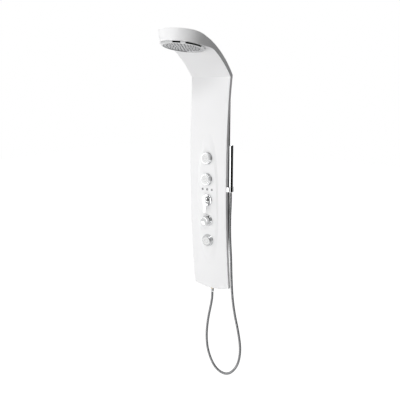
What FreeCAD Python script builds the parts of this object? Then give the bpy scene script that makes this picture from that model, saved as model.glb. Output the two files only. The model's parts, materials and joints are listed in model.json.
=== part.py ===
import FreeCAD, Part
import os
from math import acos, asin, atan2, cos, degrees, hypot, pi, radians, sin, sqrt, tan

# Shower panel column: a one-piece moulded shell that runs from a tall wall panel over an arm into a
# round overhead shower, with three body jets, a lever mixer, a diverter, a stick handset and its hose.
# Millimetres. +X is to the right of someone who faces the panel, -Y points from the wall into the
# shower and +Z is up. The origin is the centre of the upper wall bracket's two holes, on the wall.
# "out" is a distance from the wall and "up" is a height above the origin.

Vector = FreeCAD.Vector
X_AXIS = Vector(1, 0, 0)
Y_AXIS = Vector(0, 1, 0)
Z_AXIS = Vector(0, 0, 1)
UPWARD = 1000.0

# ---- Driving dimensions -------------------------------------------------------------------------
crease_up = 100.0            # crease between panel and arm, above the upper bracket
crease_out = 34.0            # crease, from the wall
panel_drop = 1136.0          # crease to the bottom corners
arm_width = 250.0
waist_width = arm_width - 9  # where the flare below the crease ends
bottom_width = arm_width - 19
waist_drop = 170.0
bottom_sagitta = 17.6        # the bottom edge is an arc
bottom_setback = 11.0        # front face at the bottom corners, behind the crease
front_bulge = 31.0           # rise of the front face's arc over its chord
shell_wall = 4.0
return_depth = 18.0          # side returns of the shell
edge_round = 2.5             # round the front of the panel, below the crease

arm_radius = 520.0           # underside of the arm, an arc seen from the side
arm_start_slope = 53.0
arm_end_slope = 32.0
neck_blend = 78.0            # arc from the arm's underside into the head's flat underside
head_tilt = 10.8             # the head's front edge is higher
head_flat_back = 64.7        # head's flat underside, behind its centre
head_radius = arm_width / 2
head_draft = 9.0             # the head's round wall leans in towards its underside
head_draft_height = 60.0
head_top_shift = 8.5         # the wall's top outline, in front of the bottom one
head_flare_back = 60.0       # where the leaning wall has run out into the arm's side
head_flare_run = 16.6
arm_depth = 21.7             # thickness of the arm at the crease
head_tip_depth = 55.0        # thickness of the head at its front
top_tip_slope = 5.2
cover_wall = 3.0
cover_lip_height = 5.0
cover_lip_wall = 2.0
lip_clearance = 0.3

tray_inset = 17.0            # rear tray, inside the shell's outline
tray_wall = 3.0
tray_gap = 1.0               # tray's back, off the wall
tray_flange = 8.0
tray_flange_wall = 2.5

island_drop = 650.0          # centre of the raised island, below the crease
island_height = 4.5
island_foot_half_width = 100.8
island_foot_half_height = 367.0
island_top_half_width = 58.0
island_top_half_height = 235.0
island_foot_depth = 13.0     # plane of the foot ellipse, behind the face at the island's centre

jet_drops = [423.0, 536.0, 872.0]
mixer_drop = 648.0
diverter_drop = 760.0
disc_drop = 591.0

wall_hole_spacing = 160.0
wall_hole_radius = 3.0
lower_bracket_drop = 930.0   # upper bracket to lower bracket
bracket_length = 192.0
bracket_height = 36.0
sheet = 2.0                  # steel sheet of brackets and hangers
hook_gap = 0.3

inlet_spacing = 150.0
inlet_thread_radius = 10.48
inlet_end_out = 2.0
inlet_thread_length = 10.0
inlet_relief_radius = 9.4

ring_radius = 33.0           # base ring of a jet
ring_height = 5.0
ball_radius = 27.0           # the jet's swivelling head is a zone of this ball
ball_centre = 10.0           # ball's centre in front of the island
jet_face = 21.0              # jet's face in front of the island
ball_back = 1.0
ball_clearance = 0.3
collar_radius = 31.1
collar_front = 16.0
jet_shank_radius = 27.0
jet_shank_depth = 18.0
jet_hole_clearance = 0.5
nozzle_ring_radii = [10.5, 20.6]
nozzle_ring_counts = [8, 16]
nozzle_radius = 1.2
nozzle_height = 1.2

handset_x = arm_width / 2 + 8
handset_out = 34.0
handset_radius = 12.0
handset_top_drop = 348.0
holder_top_drop = 567.0
holder_height = 28.0

hose_radius = 7.0
outlet_out = 13.0
outlet_thread_radius = 8.3
outlet_thread_length = 11.0

pipe_radius = 4.75           # 3/8 inch tube
side_pipe_x = 41.0

# ---- Derived places -----------------------------------------------------------------------------
bottom_up = crease_up - panel_drop
mixer_up = crease_up - mixer_drop
diverter_up = crease_up - diverter_drop

parts = {}


def side(out, up):
    """A point in the middle plane of the panel."""
    return Vector(0, -out, up)


def slope_vector(angle):
    """Direction that climbs at this angle while it leads away from the wall."""
    return side(cos(radians(angle)), sin(radians(angle)))


def below_slope(angle):
    """The direction square to slope_vector, below it."""
    return side(sin(radians(angle)), -cos(radians(angle)))


def line(a, b):
    return Part.LineSegment(a, b).toShape()


def arc(a, middle, b):
    return Part.Arc(a, middle, b).toShape()


def arc_about(centre, radius, a, b):
    """The shorter arc about a centre, from the direction of a to the direction of b."""
    to_a = (a - centre).normalize()
    to_b = (b - centre).normalize()
    to_middle = (to_a + to_b).normalize()
    return arc(centre + to_a * radius, centre + to_middle * radius, centre + to_b * radius)


def face_of(edges):
    return Part.Face(Part.Wire(edges))


def polygon(points):
    return Part.Face(Part.makePolygon(points + [points[0]]))


def across(face, half_width):
    """A face in the middle plane, extruded to both sides."""
    moved = face.copy()
    moved.translate(X_AXIS * -half_width)
    return moved.extrude(X_AXIS * 2 * half_width)


def cylinder(radius, base, axis, length):
    return Part.makeCylinder(radius, length, base, axis)


def upright(radius, z0, z1, x=0.0, y=0.0):
    return cylinder(radius, Vector(x, y, z0), Z_AXIS, z1 - z0)


def tube(outer, inner, z0, z1, x=0.0, y=0.0):
    return upright(outer, z0, z1, x, y).cut(upright(inner, z0 - 1, z1 + 1, x, y))


def box(x0, x1, out0, out1, z0, z1):
    """A box given by its sides, its distances from the wall and its heights."""
    return Part.makeBox(x1 - x0, out1 - out0, z1 - z0, Vector(x0, -out1, z0))


def revolve(points):
    """A solid turned about Z from a profile of (radius, height) points."""
    corners = [Vector(r, 0, z) for r, z in points]
    return polygon(corners).revolve(Vector(), Z_AXIS, 360)


def circle_meeting(centre_a, radius_a, centre_b, radius_b, near):
    """Where two circles in the middle plane meet, at the crossing nearer to a point."""
    across_line = centre_b - centre_a
    distance = across_line.Length
    along = (radius_a ** 2 - radius_b ** 2 + distance ** 2) / (2 * distance)
    half_chord = sqrt(radius_a ** 2 - along ** 2)
    unit = across_line * (1 / distance)
    foot = centre_a + unit * along
    offset = X_AXIS.cross(unit) * half_chord
    return min((foot + offset, foot - offset), key=lambda p: (p - near).Length)


# ---- Side view of the shell: three circles and one flat ---------------------------------------------
crease = side(crease_out, crease_up)
bottom = side(crease_out - bottom_setback, bottom_up)
front_chord = (crease - bottom).Length
front_radius = (front_chord ** 2 / 4 + front_bulge ** 2) / (2 * front_bulge)
chord_unit = (crease - bottom) * (1 / front_chord)
front_centre = (crease + bottom) * 0.5 + X_AXIS.cross(chord_unit) * (front_radius - front_bulge)
if front_centre.y < crease.y:
    front_centre = (crease + bottom) * 0.5 - X_AXIS.cross(chord_unit) * (front_radius - front_bulge)

arm_centre = crease + below_slope(arm_start_slope) * arm_radius
arm_end = arm_centre - below_slope(arm_end_slope) * arm_radius
blend_centre = arm_end + below_slope(arm_end_slope) * neck_blend
blend_end = blend_centre - below_slope(head_tilt) * neck_blend
head_centre = blend_end + slope_vector(head_tilt) * head_flat_back
head_out = -head_centre.y
tip = head_centre + side(head_radius, head_radius * tan(radians(head_tilt)) + head_tip_depth)
arm_back = crease - below_slope(arm_start_slope) * arm_depth
to_arm_back = arm_back - tip
top_radius = to_arm_back.Length ** 2 / (2 * below_slope(top_tip_slope).dot(to_arm_back))
top_centre = tip + below_slope(top_tip_slope) * top_radius
beyond_tip_out = head_out + head_radius + 40


def front_out(up, raise_by=0.0):
    """Distance of the front face from the wall at a height, or of a face offset from it."""
    radius = front_radius + raise_by
    return -front_centre.y + sqrt(radius ** 2 - (up - front_centre.z) ** 2)


def front_slab(shallow, deep, top_up, low_up, half_width):
    """The layer between two depths under the front face; a deep of None reaches the tray's back."""
    a = side(front_out(low_up, -shallow), low_up)
    b = side(front_out(top_up, -shallow), top_up)
    near = arc_about(front_centre, front_radius - shallow, a, b)
    if deep is None:
        c = side(tray_gap, top_up)
        d = side(tray_gap, low_up)
        far = line(c, d)
    else:
        c = side(front_out(top_up, -deep), top_up)
        d = side(front_out(low_up, -deep), low_up)
        far = arc_about(front_centre, front_radius - deep, c, d)
    start = near.Vertexes[0].Point
    stop = near.Vertexes[-1].Point
    return across(face_of([near, line(stop, c), far, line(d, start)]), half_width)


def column_profile(inset, back_inset, low_up):
    """Side view of panel, arm and head. A negative back_inset runs past the back and the top."""
    front_r = front_radius - inset
    arm_r = arm_radius + inset
    blend_r = neck_blend + inset
    top_r = top_radius - back_inset
    back_r = front_radius - return_depth + back_inset
    low_front = side(front_out(low_up, -inset), low_up)
    fold = circle_meeting(front_centre, front_r, arm_centre, arm_r, crease)
    arm_stop = arm_centre + (arm_end - arm_centre).normalize() * arm_r
    flat_start = blend_centre + (blend_end - blend_centre).normalize() * blend_r
    flat_run = (beyond_tip_out + flat_start.y) / cos(radians(head_tilt))
    flat_stop = flat_start + slope_vector(head_tilt) * flat_run
    top_front_up = top_centre.z + sqrt(top_r ** 2 - (beyond_tip_out + top_centre.y) ** 2)
    top_front = side(beyond_tip_out, top_front_up)
    corner = circle_meeting(front_centre, back_r, top_centre, top_r, crease)
    low_back = side(-front_centre.y + sqrt(back_r ** 2 - (low_up - front_centre.z) ** 2), low_up)
    return face_of([
        arc_about(front_centre, front_r, low_front, fold),
        arc_about(arm_centre, arm_r, fold, arm_stop),
        arc_about(blend_centre, blend_r, arm_stop, flat_start),
        line(flat_start, flat_stop),
        line(flat_stop, top_front),
        arc_about(top_centre, top_r, top_front, corner),
        arc_about(front_centre, back_r, corner, low_back),
        line(low_back, low_front),
    ])


# ---- Front view and plan of the shell --------------------------------------------------------------
def front_outline(inset):
    """Outline of the panel seen from the front, drawn in from its edge."""
    half_bottom = bottom_width / 2
    half_waist = waist_width / 2
    half_arm = arm_width / 2
    waist_up = crease_up - waist_drop
    low = Vector(half_bottom, 0, bottom_up)
    waist = Vector(half_waist, 0, waist_up)
    top = Vector(half_arm, 0, crease_up)
    side_angle = atan2(half_waist - half_bottom, waist_up - bottom_up)
    flare_angle = 2 * atan2(half_arm - half_waist, waist_drop) - side_angle
    middle_angle = (side_angle + flare_angle) / 2
    half_chord = (top - waist).Length / 2
    sweep = (flare_angle - side_angle) / 2
    sagitta = half_chord * tan(sweep / 2)
    middle = (waist + top) * 0.5 - Vector(cos(middle_angle), 0, -sin(middle_angle)) * sagitta
    roof = Vector(half_arm + tan(flare_angle) * UPWARD, 0, crease_up + UPWARD)
    right = [line(low, waist), arc(waist, middle, top), line(top, roof)]
    mirrored = [Vector(-p.x, 0, p.z) for p in (low, waist, middle, top, roof)]
    left = [line(mirrored[4], mirrored[3]), arc(mirrored[3], mirrored[2], mirrored[1]),
            line(mirrored[1], mirrored[0])]
    floor = arc(mirrored[0], Vector(0, 0, bottom_up - bottom_sagitta), low)
    wire = Part.Wire(right + [line(roof, mirrored[4])] + left + [floor])
    if inset:
        wire = wire.makeOffset2D(-inset, 2)
    return Part.Face(wire)


def outline_prism(inset):
    face = front_outline(inset)
    face.translate(Vector(0, -UPWARD, 0))
    return face.extrude(Vector(0, 2 * UPWARD, 0))


def in_head(shape):
    """Moves a shape from the head's own axes to its place: origin on the flat, -Z the spray's way."""
    placed = shape.copy()
    frame = FreeCAD.Placement(head_centre, FreeCAD.Rotation(X_AXIS, -head_tilt))
    placed.Placement = frame.multiply(shape.Placement)
    return placed


def plan_wire(half, round_radius, round_y, height, inset):
    """Plan of arm and head at one height over the head's flat: sides, flares and a round end."""
    reach = 3 * UPWARD
    corner = Vector(half, head_flare_back, height)
    away = corner - Vector(0, round_y, height)
    turn = atan2(away.y, away.x) - acos(round_radius / away.Length)
    touch = Vector(round_radius * cos(turn), round_y + round_radius * sin(turn), height)
    into = corner + (touch - corner).normalize() * head_flare_run
    back = corner + Vector(0, head_flare_run, 0)
    far = Vector(half, reach, height)
    middle = (into + back) * 0.25 + corner * 0.5
    left = [Vector(-p.x, p.y, p.z) for p in (far, back, middle, into, touch)]
    bend = (middle - (into + back) * 0.5).Length > 0.01
    edges = [line(left[0], left[1]),
             arc(left[1], left[2], left[3]) if bend else line(left[1], left[3]),
             line(left[3], left[4]),
             arc(left[4], Vector(0, round_y - round_radius, height), touch),
             line(touch, into),
             arc(into, middle, back) if bend else line(into, back),
             line(back, far),
             line(far, left[0])]
    wire = Part.Wire(edges)
    if inset:
        wire = wire.makeOffset2D(-inset, 2)
    return wire


def plan_prism(inset):
    """Everything inside the sides of arm and head, whose round wall leans in towards the spray."""
    half = arm_width / 2
    low = plan_wire(half, head_radius - head_draft, 0.0, 0.0, inset)
    high = plan_wire(half, head_radius, -head_top_shift, head_draft_height, inset)
    leaning = Part.makeLoft([low, high], True, True)
    above = Part.Face(high).extrude(Z_AXIS * UPWARD)
    start = head_flare_back + head_flare_run
    below = Part.makeBox(2 * (half - inset), 2 * UPWARD, 2 * UPWARD, Vector(inset - half, start, -2 * UPWARD))
    return in_head(leaning.fuse(above).fuse(below).removeSplitter())


def trimmed(solid, inset):
    return solid.common(outline_prism(inset)).common(plan_prism(inset))


# ---- Edge rounds -----------------------------------------------------------------------------------
def middle_of(edge):
    return edge.valueAt((edge.FirstParameter + edge.LastParameter) / 2)


def rounded_panel(body):
    """Rounds the edges of the panel's front and its two bottom corners, up to the crease."""
    picked = []
    for edge in body.Edges:
        middle = middle_of(edge)
        away = middle - front_centre
        on_front = abs(sqrt(away.y ** 2 + away.z ** 2) - front_radius) < 0.01
        if on_front and middle.z < crease_up - 0.01:
            picked.append(edge)
        elif abs(middle.z - bottom_up) < 0.01 and edge.BoundBox.ZLength + edge.BoundBox.XLength < 0.01:
            picked.append(edge)
    return body.makeFillet(edge_round, picked)


# ---- Places on the island ------------------------------------------------------------------------
def on_island(drop, shape):
    """Moves a shape to the island's surface: +Z is the outward normal, +Y runs up the panel."""
    up = crease_up - drop
    point = side(front_out(up, island_height), up)
    normal = (point - front_centre).normalize()
    placed = shape.copy()
    frame = FreeCAD.Placement(point, FreeCAD.Rotation(X_AXIS, degrees(atan2(-normal.y, normal.z))))
    placed.Placement = frame.multiply(shape.Placement)
    return placed


def island_solid():
    """A loft between two ellipses; the layer between two front faces trims it to a low plateau."""
    def ellipse(depth, half_width, half_height):
        curve = Part.Ellipse(Vector(0, 0, -depth), half_height, half_width)
        wire = Part.Wire(curve.toShape())
        wire.rotate(Vector(), Z_AXIS, 90)
        return wire

    foot = ellipse(island_height + island_foot_depth, island_foot_half_width, island_foot_half_height)
    top = ellipse(0.0, island_top_half_width, island_top_half_height)
    loft = on_island(island_drop, Part.makeLoft([foot, top], True, True))
    up = crease_up - island_drop
    half = island_foot_half_height + 20
    return loft.common(front_slab(-island_height, shell_wall / 2, up + half, up - half, arm_width))


# ---- Holes through the shell ----------------------------------------------------------------------
mixer_cup_radius = 24.0
diverter_cup_radius = 19.0
cup_hole_clearance = 0.4
disc_radius = 6.5
disc_pitch = 30.0
disc_pocket = 1.0
disc_proud = 0.8
hole_depth = 30.0

head_ring_radius = head_radius - 16.5
head_ring_inner = head_ring_radius - 8.5
head_ring_clearance = 1.0
head_ring_drop = 11.0
head_flange_radius = head_radius - 13
head_pad_height = shell_wall
head_flange_wall = 2.5
head_screw_circle = head_radius - 11.4
head_screw_turns = [40.0, 60.0, 120.0, 140.0]
head_screw_radius = 2.0
pad_radius = 4.5
ear_radius = 5.5

outlet_neck_radius = 5.5
outlet_clearance = 0.3
holder_screw_spacing = 14.0
holder_screw_radius = 2.0
holder_arm_out = 47.0


def head_screw_points(height):
    """Places of the screws behind the head's centre, in the head's axes."""
    turns = [radians(turn) for turn in head_screw_turns]
    return [Vector(head_screw_circle * cos(turn), head_screw_circle * sin(turn), height) for turn in turns]


holder_middle_up = crease_up - holder_top_drop - holder_height / 2
holder_screw_ups = [holder_middle_up - holder_screw_spacing / 2, holder_middle_up + holder_screw_spacing / 2]


def panel_half_width(up):
    """Half the panel's width at a height between the bottom corners and the waist."""
    waist_up = crease_up - waist_drop
    share = (up - bottom_up) / (waist_up - bottom_up)
    return bottom_width / 2 + share * (waist_width - bottom_width) / 2


def shell_openings():
    cuts = [on_island(drop, upright(jet_shank_radius + jet_hole_clearance, -hole_depth, hole_depth))
            for drop in jet_drops]
    for drop, radius in ((mixer_drop, mixer_cup_radius), (diverter_drop, diverter_cup_radius)):
        cuts.append(on_island(drop, upright(radius + cup_hole_clearance, -hole_depth, hole_depth)))
    for x in (-disc_pitch, 0.0, disc_pitch):
        cuts.append(on_island(disc_drop, upright(disc_radius, -disc_pocket, hole_depth, x)))
    cuts.append(in_head(upright(head_ring_radius + head_ring_clearance, -hole_depth, shell_wall + 2)))
    cuts.append(upright(outlet_neck_radius + outlet_clearance, bottom_up - 40, bottom_up + 40, 0, -outlet_out))
    for up in holder_screw_ups:
        start = Vector(panel_half_width(up) - hole_depth, -holder_arm_out, up)
        cuts.append(cylinder(holder_screw_radius + outlet_clearance, start, X_AXIS, 2 * hole_depth))
    return cuts


def front_shell():
    body = rounded_panel(trimmed(across(column_profile(0.0, 0.0, bottom_up - 60), arm_width), 0.0))
    cavity = trimmed(across(column_profile(shell_wall, -UPWARD / 40, bottom_up - 60), arm_width), shell_wall)
    island = island_solid()
    hollow_island = island.copy()
    hollow_island.translate(Vector(0, shell_wall, 0))
    pads = [in_head(upright(pad_radius, -3 * hole_depth, head_pad_height, p.x, p.y))
            for p in head_screw_points(0)]
    pads = [pad.common(cavity) for pad in pads]
    shell = body.fuse(island).cut(cavity).cut(hollow_island)
    shell = shell.cut(arm_cover_blank())
    for pad in pads:
        shell = shell.fuse(pad)
    for p in head_screw_points(0):
        shell = shell.cut(in_head(upright(head_screw_radius, 0.8, hole_depth, p.x, p.y)))
    for cut in shell_openings():
        shell = shell.cut(cut)
    return shell


def above_crease(solid):
    return solid.common(box(-arm_width, arm_width, -UPWARD, UPWARD, crease_up, UPWARD))


def arm_cover_blank():
    """The skin that closes the arm and the head from above, over the shell's rim."""
    outer = across(column_profile(0.0, 0.0, bottom_up), arm_width)
    inner = across(column_profile(-cover_wall, cover_wall, bottom_up), arm_width + 1)
    return above_crease(trimmed(outer.cut(inner), 0.0))


def arm_cover():
    skin = arm_cover_blank()
    lip_zone = across(column_profile(-cover_wall, cover_wall, bottom_up), arm_width)
    lip_core = across(column_profile(-cover_wall - 1, cover_wall + cover_lip_height, bottom_up), arm_width + 1)
    outside = shell_wall + lip_clearance
    lip = trimmed(lip_zone.cut(lip_core), outside).cut(trimmed(lip_zone, outside + cover_lip_wall))
    free_space = across(column_profile(shell_wall + lip_clearance, -UPWARD / 40, bottom_up), arm_width)
    return skin.fuse(above_crease(lip).common(free_space))


# ---- Rear tray, brackets and hangers -------------------------------------------------------------
riser_crease_out = 24.0
riser_hole_radius = 7.0
window_round = 12.0
floor_in_out = tray_gap + tray_wall
hanger_length = 170.0
hanger_screw_xs = [-70.0, -25.0, 25.0, 70.0]
hanger_screw_up = 51.0
bracket_ups = [0.0, -lower_bracket_drop]


def window(half_width, z0, z1):
    blank = box(-half_width, half_width, -1, floor_in_out + 1, z0, z1)
    corners = [e for e in blank.Edges if abs(e.tangentAt(e.FirstParameter).y) > 0.9]
    return blank.makeFillet(window_round, corners)


def rear_tray():
    depth = shell_wall
    low_up = bottom_up - 60
    outer = front_slab(depth, None, crease_up, low_up, arm_width).common(outline_prism(tray_inset))
    inner_top = crease_up - tray_wall
    hollow = front_slab(depth - 5, None, inner_top, low_up, arm_width)
    hollow = hollow.common(outline_prism(tray_inset + tray_wall))
    hollow = hollow.cut(box(-arm_width, arm_width, -5, floor_in_out, low_up, inner_top + 5))
    flange = front_slab(depth, depth + tray_flange_wall, crease_up, low_up, arm_width)
    flange = flange.common(outline_prism(tray_inset - tray_flange)).cut(outline_prism(tray_inset + tray_wall))
    tray = outer.cut(hollow).fuse(flange)
    tray = tray.cut(upright(riser_hole_radius, crease_up - 20, crease_up + 20, side_pipe_x, -riser_crease_out))
    tray = tray.cut(window(inlet_spacing / 2 + 20, mixer_up - 45, mixer_up + 45))
    for up in bracket_ups:
        tray = tray.cut(window(bracket_length / 2 + 3, up - bracket_height / 2 - 4, up + 42))
        for x in hanger_screw_xs:
            start = Vector(x, 5, up + hanger_screw_up)
            tray = tray.cut(cylinder(hanger_screw_radius + 0.1, start, Vector(0, -1, 0), 20))
    tray = tray.cut(upright(outlet_neck_radius + outlet_clearance, bottom_up - 40, bottom_up + 60, 0, -outlet_out))
    return tray


hanger_screw_radius = 2.0
hook_lip_out = 2 * sheet + hook_gap + 0.2


def wall_bracket(up):
    """A flat strip on the wall, with a hook along its top edge."""
    half = bracket_length / 2
    top = up + bracket_height / 2 - 4
    strip = box(-half, half, 0, sheet, up - bracket_height / 2, top)
    shelf = box(-half, half, 0, hook_lip_out + sheet, top - sheet, top)
    lip = box(-half, half, hook_lip_out, hook_lip_out + sheet, top - sheet, top + 12)
    bracket = strip.fuse(shelf).fuse(lip).removeSplitter()
    for x in (-wall_hole_spacing / 2, wall_hole_spacing / 2):
        bracket = bracket.cut(cylinder(wall_hole_radius, Vector(x, 1, up), Vector(0, -1, 0), 20))
    return bracket


def hanger(up):
    """A joggled strip on the tray's floor, whose lower edge drops behind the bracket's hook."""
    shelf_top = up + bracket_height / 2 - 4
    outline = [side(floor_in_out, up + 60), side(floor_in_out + sheet, up + 60),
               side(floor_in_out + sheet, up + 40), side(hook_lip_out - hook_gap, up + 40),
               side(hook_lip_out - hook_gap, shelf_top), side(hook_lip_out - hook_gap - sheet, shelf_top),
               side(hook_lip_out - hook_gap - sheet, up + 42), side(floor_in_out, up + 42)]
    strip = across(polygon(outline), hanger_length / 2)
    for x in hanger_screw_xs:
        start = Vector(x, 5, up + hanger_screw_up)
        strip = strip.cut(cylinder(hanger_screw_radius + 0.1, start, Vector(0, -1, 0), 20))
    return strip


def pan_screw(radius, length, head_radius_, head_height):
    """Points along -Z from the seat of its head at the origin."""
    head = Part.makeCone(head_radius_, head_radius_ * 0.75, head_height, Vector(), Z_AXIS)
    return head.fuse(upright(radius, -length, 0))


def hanger_screws():
    screws = []
    for up in bracket_ups:
        for x in hanger_screw_xs:
            screw = pan_screw(hanger_screw_radius, sheet + tray_wall - 0.4, 3.6, 2.4)
            spot = Vector(x, -(floor_in_out + sheet), up + hanger_screw_up)
            screw.Placement = FreeCAD.Placement(spot, FreeCAD.Rotation(X_AXIS, 90))
            screws.append(screw)
    return Part.makeCompound(screws)


# ---- Pipes -------------------------------------------------------------------------------------
def rounded_path(points, radii):
    """Straight runs joined by tangent arcs, one radius for each inner point."""
    edges = []
    start = points[0]
    for before, corner, after, radius in zip(points, points[1:], points[2:], radii):
        back = (before - corner).normalize()
        ahead = (after - corner).normalize()
        half_inside = back.getAngle(ahead) / 2
        trim = radius / tan(half_inside)
        middle_gap = radius / sin(half_inside) - radius
        into = corner + back * trim
        away = corner + ahead * trim
        middle = corner + (back + ahead).normalize() * middle_gap
        edges.append(line(start, into))
        edges.append(arc(into, middle, away))
        start = away
    edges.append(line(start, points[-1]))
    return Part.Wire(edges)


def pipe_along(points, radii, radius):
    path = rounded_path(points, radii)
    direction = (points[1] - points[0]).normalize()
    ring = Part.Wire(Part.Circle(points[0], direction, radius).toShape())
    return path.makePipeShell([ring], True, False)


# ---- Mixer -------------------------------------------------------------------------------------
bar_out = 22.0               # depth of the mixer's inlet bar
bar_radius = 8.5
link_out = 35.0              # depth of the outlets that join mixer, diverter and pipes
cartridge_radius = 17.5
cartridge_fit = 0.1
mixer_cup_back = -44.0
mixer_cup_front = 3.0
cartridge_back = -42.0
cartridge_front = -14.0
cartridge_nut_front = -8.0
dome_radius = 20.0
dome_centre = 4.0
dome_clearance = 0.3
spindle_half = 4.0
spindle_fit = 0.1
flange_radius = 32.0
flange_height = 6.5
locknut_radius = 31.0
locknut_height = 6.0
blade_half_width = 8.0
blade_inner = 24.3
blade_wall = 3.2
blade_above = 27.0
blade_below = 65.0
stem_radius = 3.8
eye_radius = 6.5
eye_half_width = 4.2
slot_half_width = 4.5
slot_clearance = 0.7
lever_pin_radius = 2.0
lever_pin_fit = 0.05
lever_lift = 25.0


def mixer_body():
    cup = upright(mixer_cup_radius, mixer_cup_back, mixer_cup_front)
    cup = on_island(mixer_drop, cup)
    half = inlet_spacing / 2
    bar = cylinder(bar_radius, Vector(-half, -bar_out, mixer_up), X_AXIS, 2 * half)
    body = cup.fuse(bar)
    for x in (-half, half):
        body = body.fuse(Part.makeSphere(bar_radius + 1.2, Vector(x, -bar_out, mixer_up)))
        relief = cylinder(inlet_relief_radius, Vector(x, -bar_out, mixer_up), Vector(0, 1, 0), bar_out - inlet_end_out)
        thread_start = Vector(x, -inlet_end_out - inlet_thread_length, mixer_up)
        thread = cylinder(inlet_thread_radius, thread_start, Vector(0, 1, 0), inlet_thread_length)
        body = body.fuse(relief).fuse(thread)
        bore = cylinder(7.5, Vector(x, -bar_out, mixer_up), Vector(0, 1, 0), bar_out)
        body = body.cut(bore)
    outlet_low = mixer_up - mixer_cup_radius - 8
    outlet = upright(pipe_radius + 2.5, outlet_low, mixer_up, 0, -link_out)
    body = body.fuse(outlet)
    hollow = upright(cartridge_radius + cartridge_fit, cartridge_back, cartridge_front)
    hollow = hollow.fuse(upright(dome_radius + dome_clearance, cartridge_front, mixer_cup_front + 1))
    body = body.cut(on_island(mixer_drop, hollow))
    return body


def mixer_cartridge():
    body = upright(cartridge_radius, cartridge_back, cartridge_front)
    body = body.cut(upright(6.2, cartridge_front - 8, cartridge_front + 1))
    return on_island(mixer_drop, body)


def cartridge_nut():
    ring = tube(dome_radius + dome_clearance, 10.5, cartridge_front, cartridge_nut_front)
    return on_island(mixer_drop, ring)


def cup_flange(cup_radius, bore_radius, radius, height, drop):
    """A chrome escutcheon screwed over the front of a cup, with a rounded rim."""
    recess = cup_radius + 0.05
    profile = [(recess, 0), (radius, 0), (radius, height * 0.55), (radius - 0.8, height * 0.82),
               (radius - 2.4, height), (bore_radius, height), (bore_radius, mixer_cup_front + 0.1),
               (recess, mixer_cup_front + 0.1)]
    return on_island(drop, revolve(profile))


def lock_nut(inner, outer, front, height, count=8):
    """A round nut with grip flats on its rim."""
    nut = tube(outer, inner, front - height, front)
    for i in range(count):
        notch = Part.makeBox(4, 6, height + 2, Vector(outer - 2.5, -3, front - height - 1))
        notch.rotate(Vector(), Z_AXIS, 360.0 * i / count)
        nut = nut.cut(notch)
    return nut


def mixer_spindle():
    pin = Part.makeBox(2 * spindle_half, 2 * spindle_half, 16, Vector(-spindle_half, -spindle_half, -20))
    return on_island(mixer_drop, pin)


def mixer_dome():
    dome = Part.makeSphere(dome_radius, Vector(0, 0, dome_centre))
    dome = dome.common(upright(dome_radius + 1, dome_centre, dome_centre + dome_radius + 1))
    dome = dome.fuse(upright(dome_radius, -3, dome_centre)).removeSplitter()
    dome = dome.fuse(upright(9, -12, -3))
    socket_half = spindle_half + spindle_fit
    dome = dome.cut(Part.makeBox(2 * socket_half, 2 * socket_half, 8.0,
                                 Vector(-socket_half, -socket_half, -12)))
    pivot = Vector(0, 0, dome_centre)
    eye_space = cylinder(eye_radius + slot_clearance, pivot - X_AXIS * slot_half_width, X_AXIS, 2 * slot_half_width)
    dome = dome.cut(eye_space)
    reach = dome_radius + 5
    gap = stem_radius + slot_clearance
    upper_turn = radians(lever_lift)
    fan = [Vector(0, -gap, dome_centre), Vector(0, -gap, dome_centre + reach)]
    out_dir = Vector(0, sin(upper_turn), cos(upper_turn))
    up_dir = Vector(0, cos(upper_turn), -sin(upper_turn))
    fan.append(pivot + out_dir * reach + up_dir * gap)
    fan.append(pivot + up_dir * gap)
    slot = across(polygon(fan), slot_half_width)
    dome = dome.cut(slot)
    pin_hole = cylinder(lever_pin_radius, pivot - X_AXIS * 30, X_AXIS, 60)
    return on_island(mixer_drop, dome.cut(pin_hole))


def lever_pin():
    half = sqrt(dome_radius ** 2 - lever_pin_radius ** 2) - 1
    pin = cylinder(lever_pin_radius, Vector(-half, 0, dome_centre), X_AXIS, 2 * half)
    return on_island(mixer_drop, pin)


def mixer_lever():
    """A flat blade over the dome, on a stem that swings about the pin."""
    front = blade_inner + blade_wall
    outline = [line(Vector(-blade_half_width, blade_above - blade_half_width, 0),
                    Vector(-blade_half_width + 1.5, -blade_below + blade_half_width, 0)),
               arc(Vector(-blade_half_width + 1.5, -blade_below + blade_half_width, 0),
                   Vector(0, -blade_below, 0),
                   Vector(blade_half_width - 1.5, -blade_below + blade_half_width, 0)),
               line(Vector(blade_half_width - 1.5, -blade_below + blade_half_width, 0),
                    Vector(blade_half_width, blade_above - blade_half_width, 0)),
               arc(Vector(blade_half_width, blade_above - blade_half_width, 0), Vector(0, blade_above, 0),
                   Vector(-blade_half_width, blade_above - blade_half_width, 0))]
    blade = face_of(outline).extrude(Z_AXIS * blade_wall)
    blade.translate(Z_AXIS * blade_inner)
    stem = upright(stem_radius, dome_centre, front - 1)
    eye = cylinder(eye_radius, Vector(-eye_half_width, 0, dome_centre), X_AXIS, 2 * eye_half_width)
    lever = blade.fuse(stem).fuse(eye)
    hole = cylinder(lever_pin_radius + lever_pin_fit, Vector(-30, 0, dome_centre), X_AXIS, 60)
    return on_island(mixer_drop, lever.cut(hole))


# ---- Diverter ------------------------------------------------------------------------------------
diverter_cartridge_radius = 14.5
diverter_flange_radius = 31.0
diverter_back = -40.0
diverter_cartridge_front = -6.0
knob_radius = 23.0
knob_back = 7.3
knob_front = 34.0
knob_flute_count = 24
knob_spindle_half = 3.5


def branch_pipe_out(up):
    """Depth of the jets' supply pipe at a height, on the line between its two ends."""
    top_up = crease_up - jet_drops[1]
    low_up = crease_up - jet_drops[2]
    share = (up - low_up) / (top_up - low_up)
    return jet_port(jet_drops[2]) + share * (jet_port(jet_drops[1]) - jet_port(jet_drops[2]))


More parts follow.
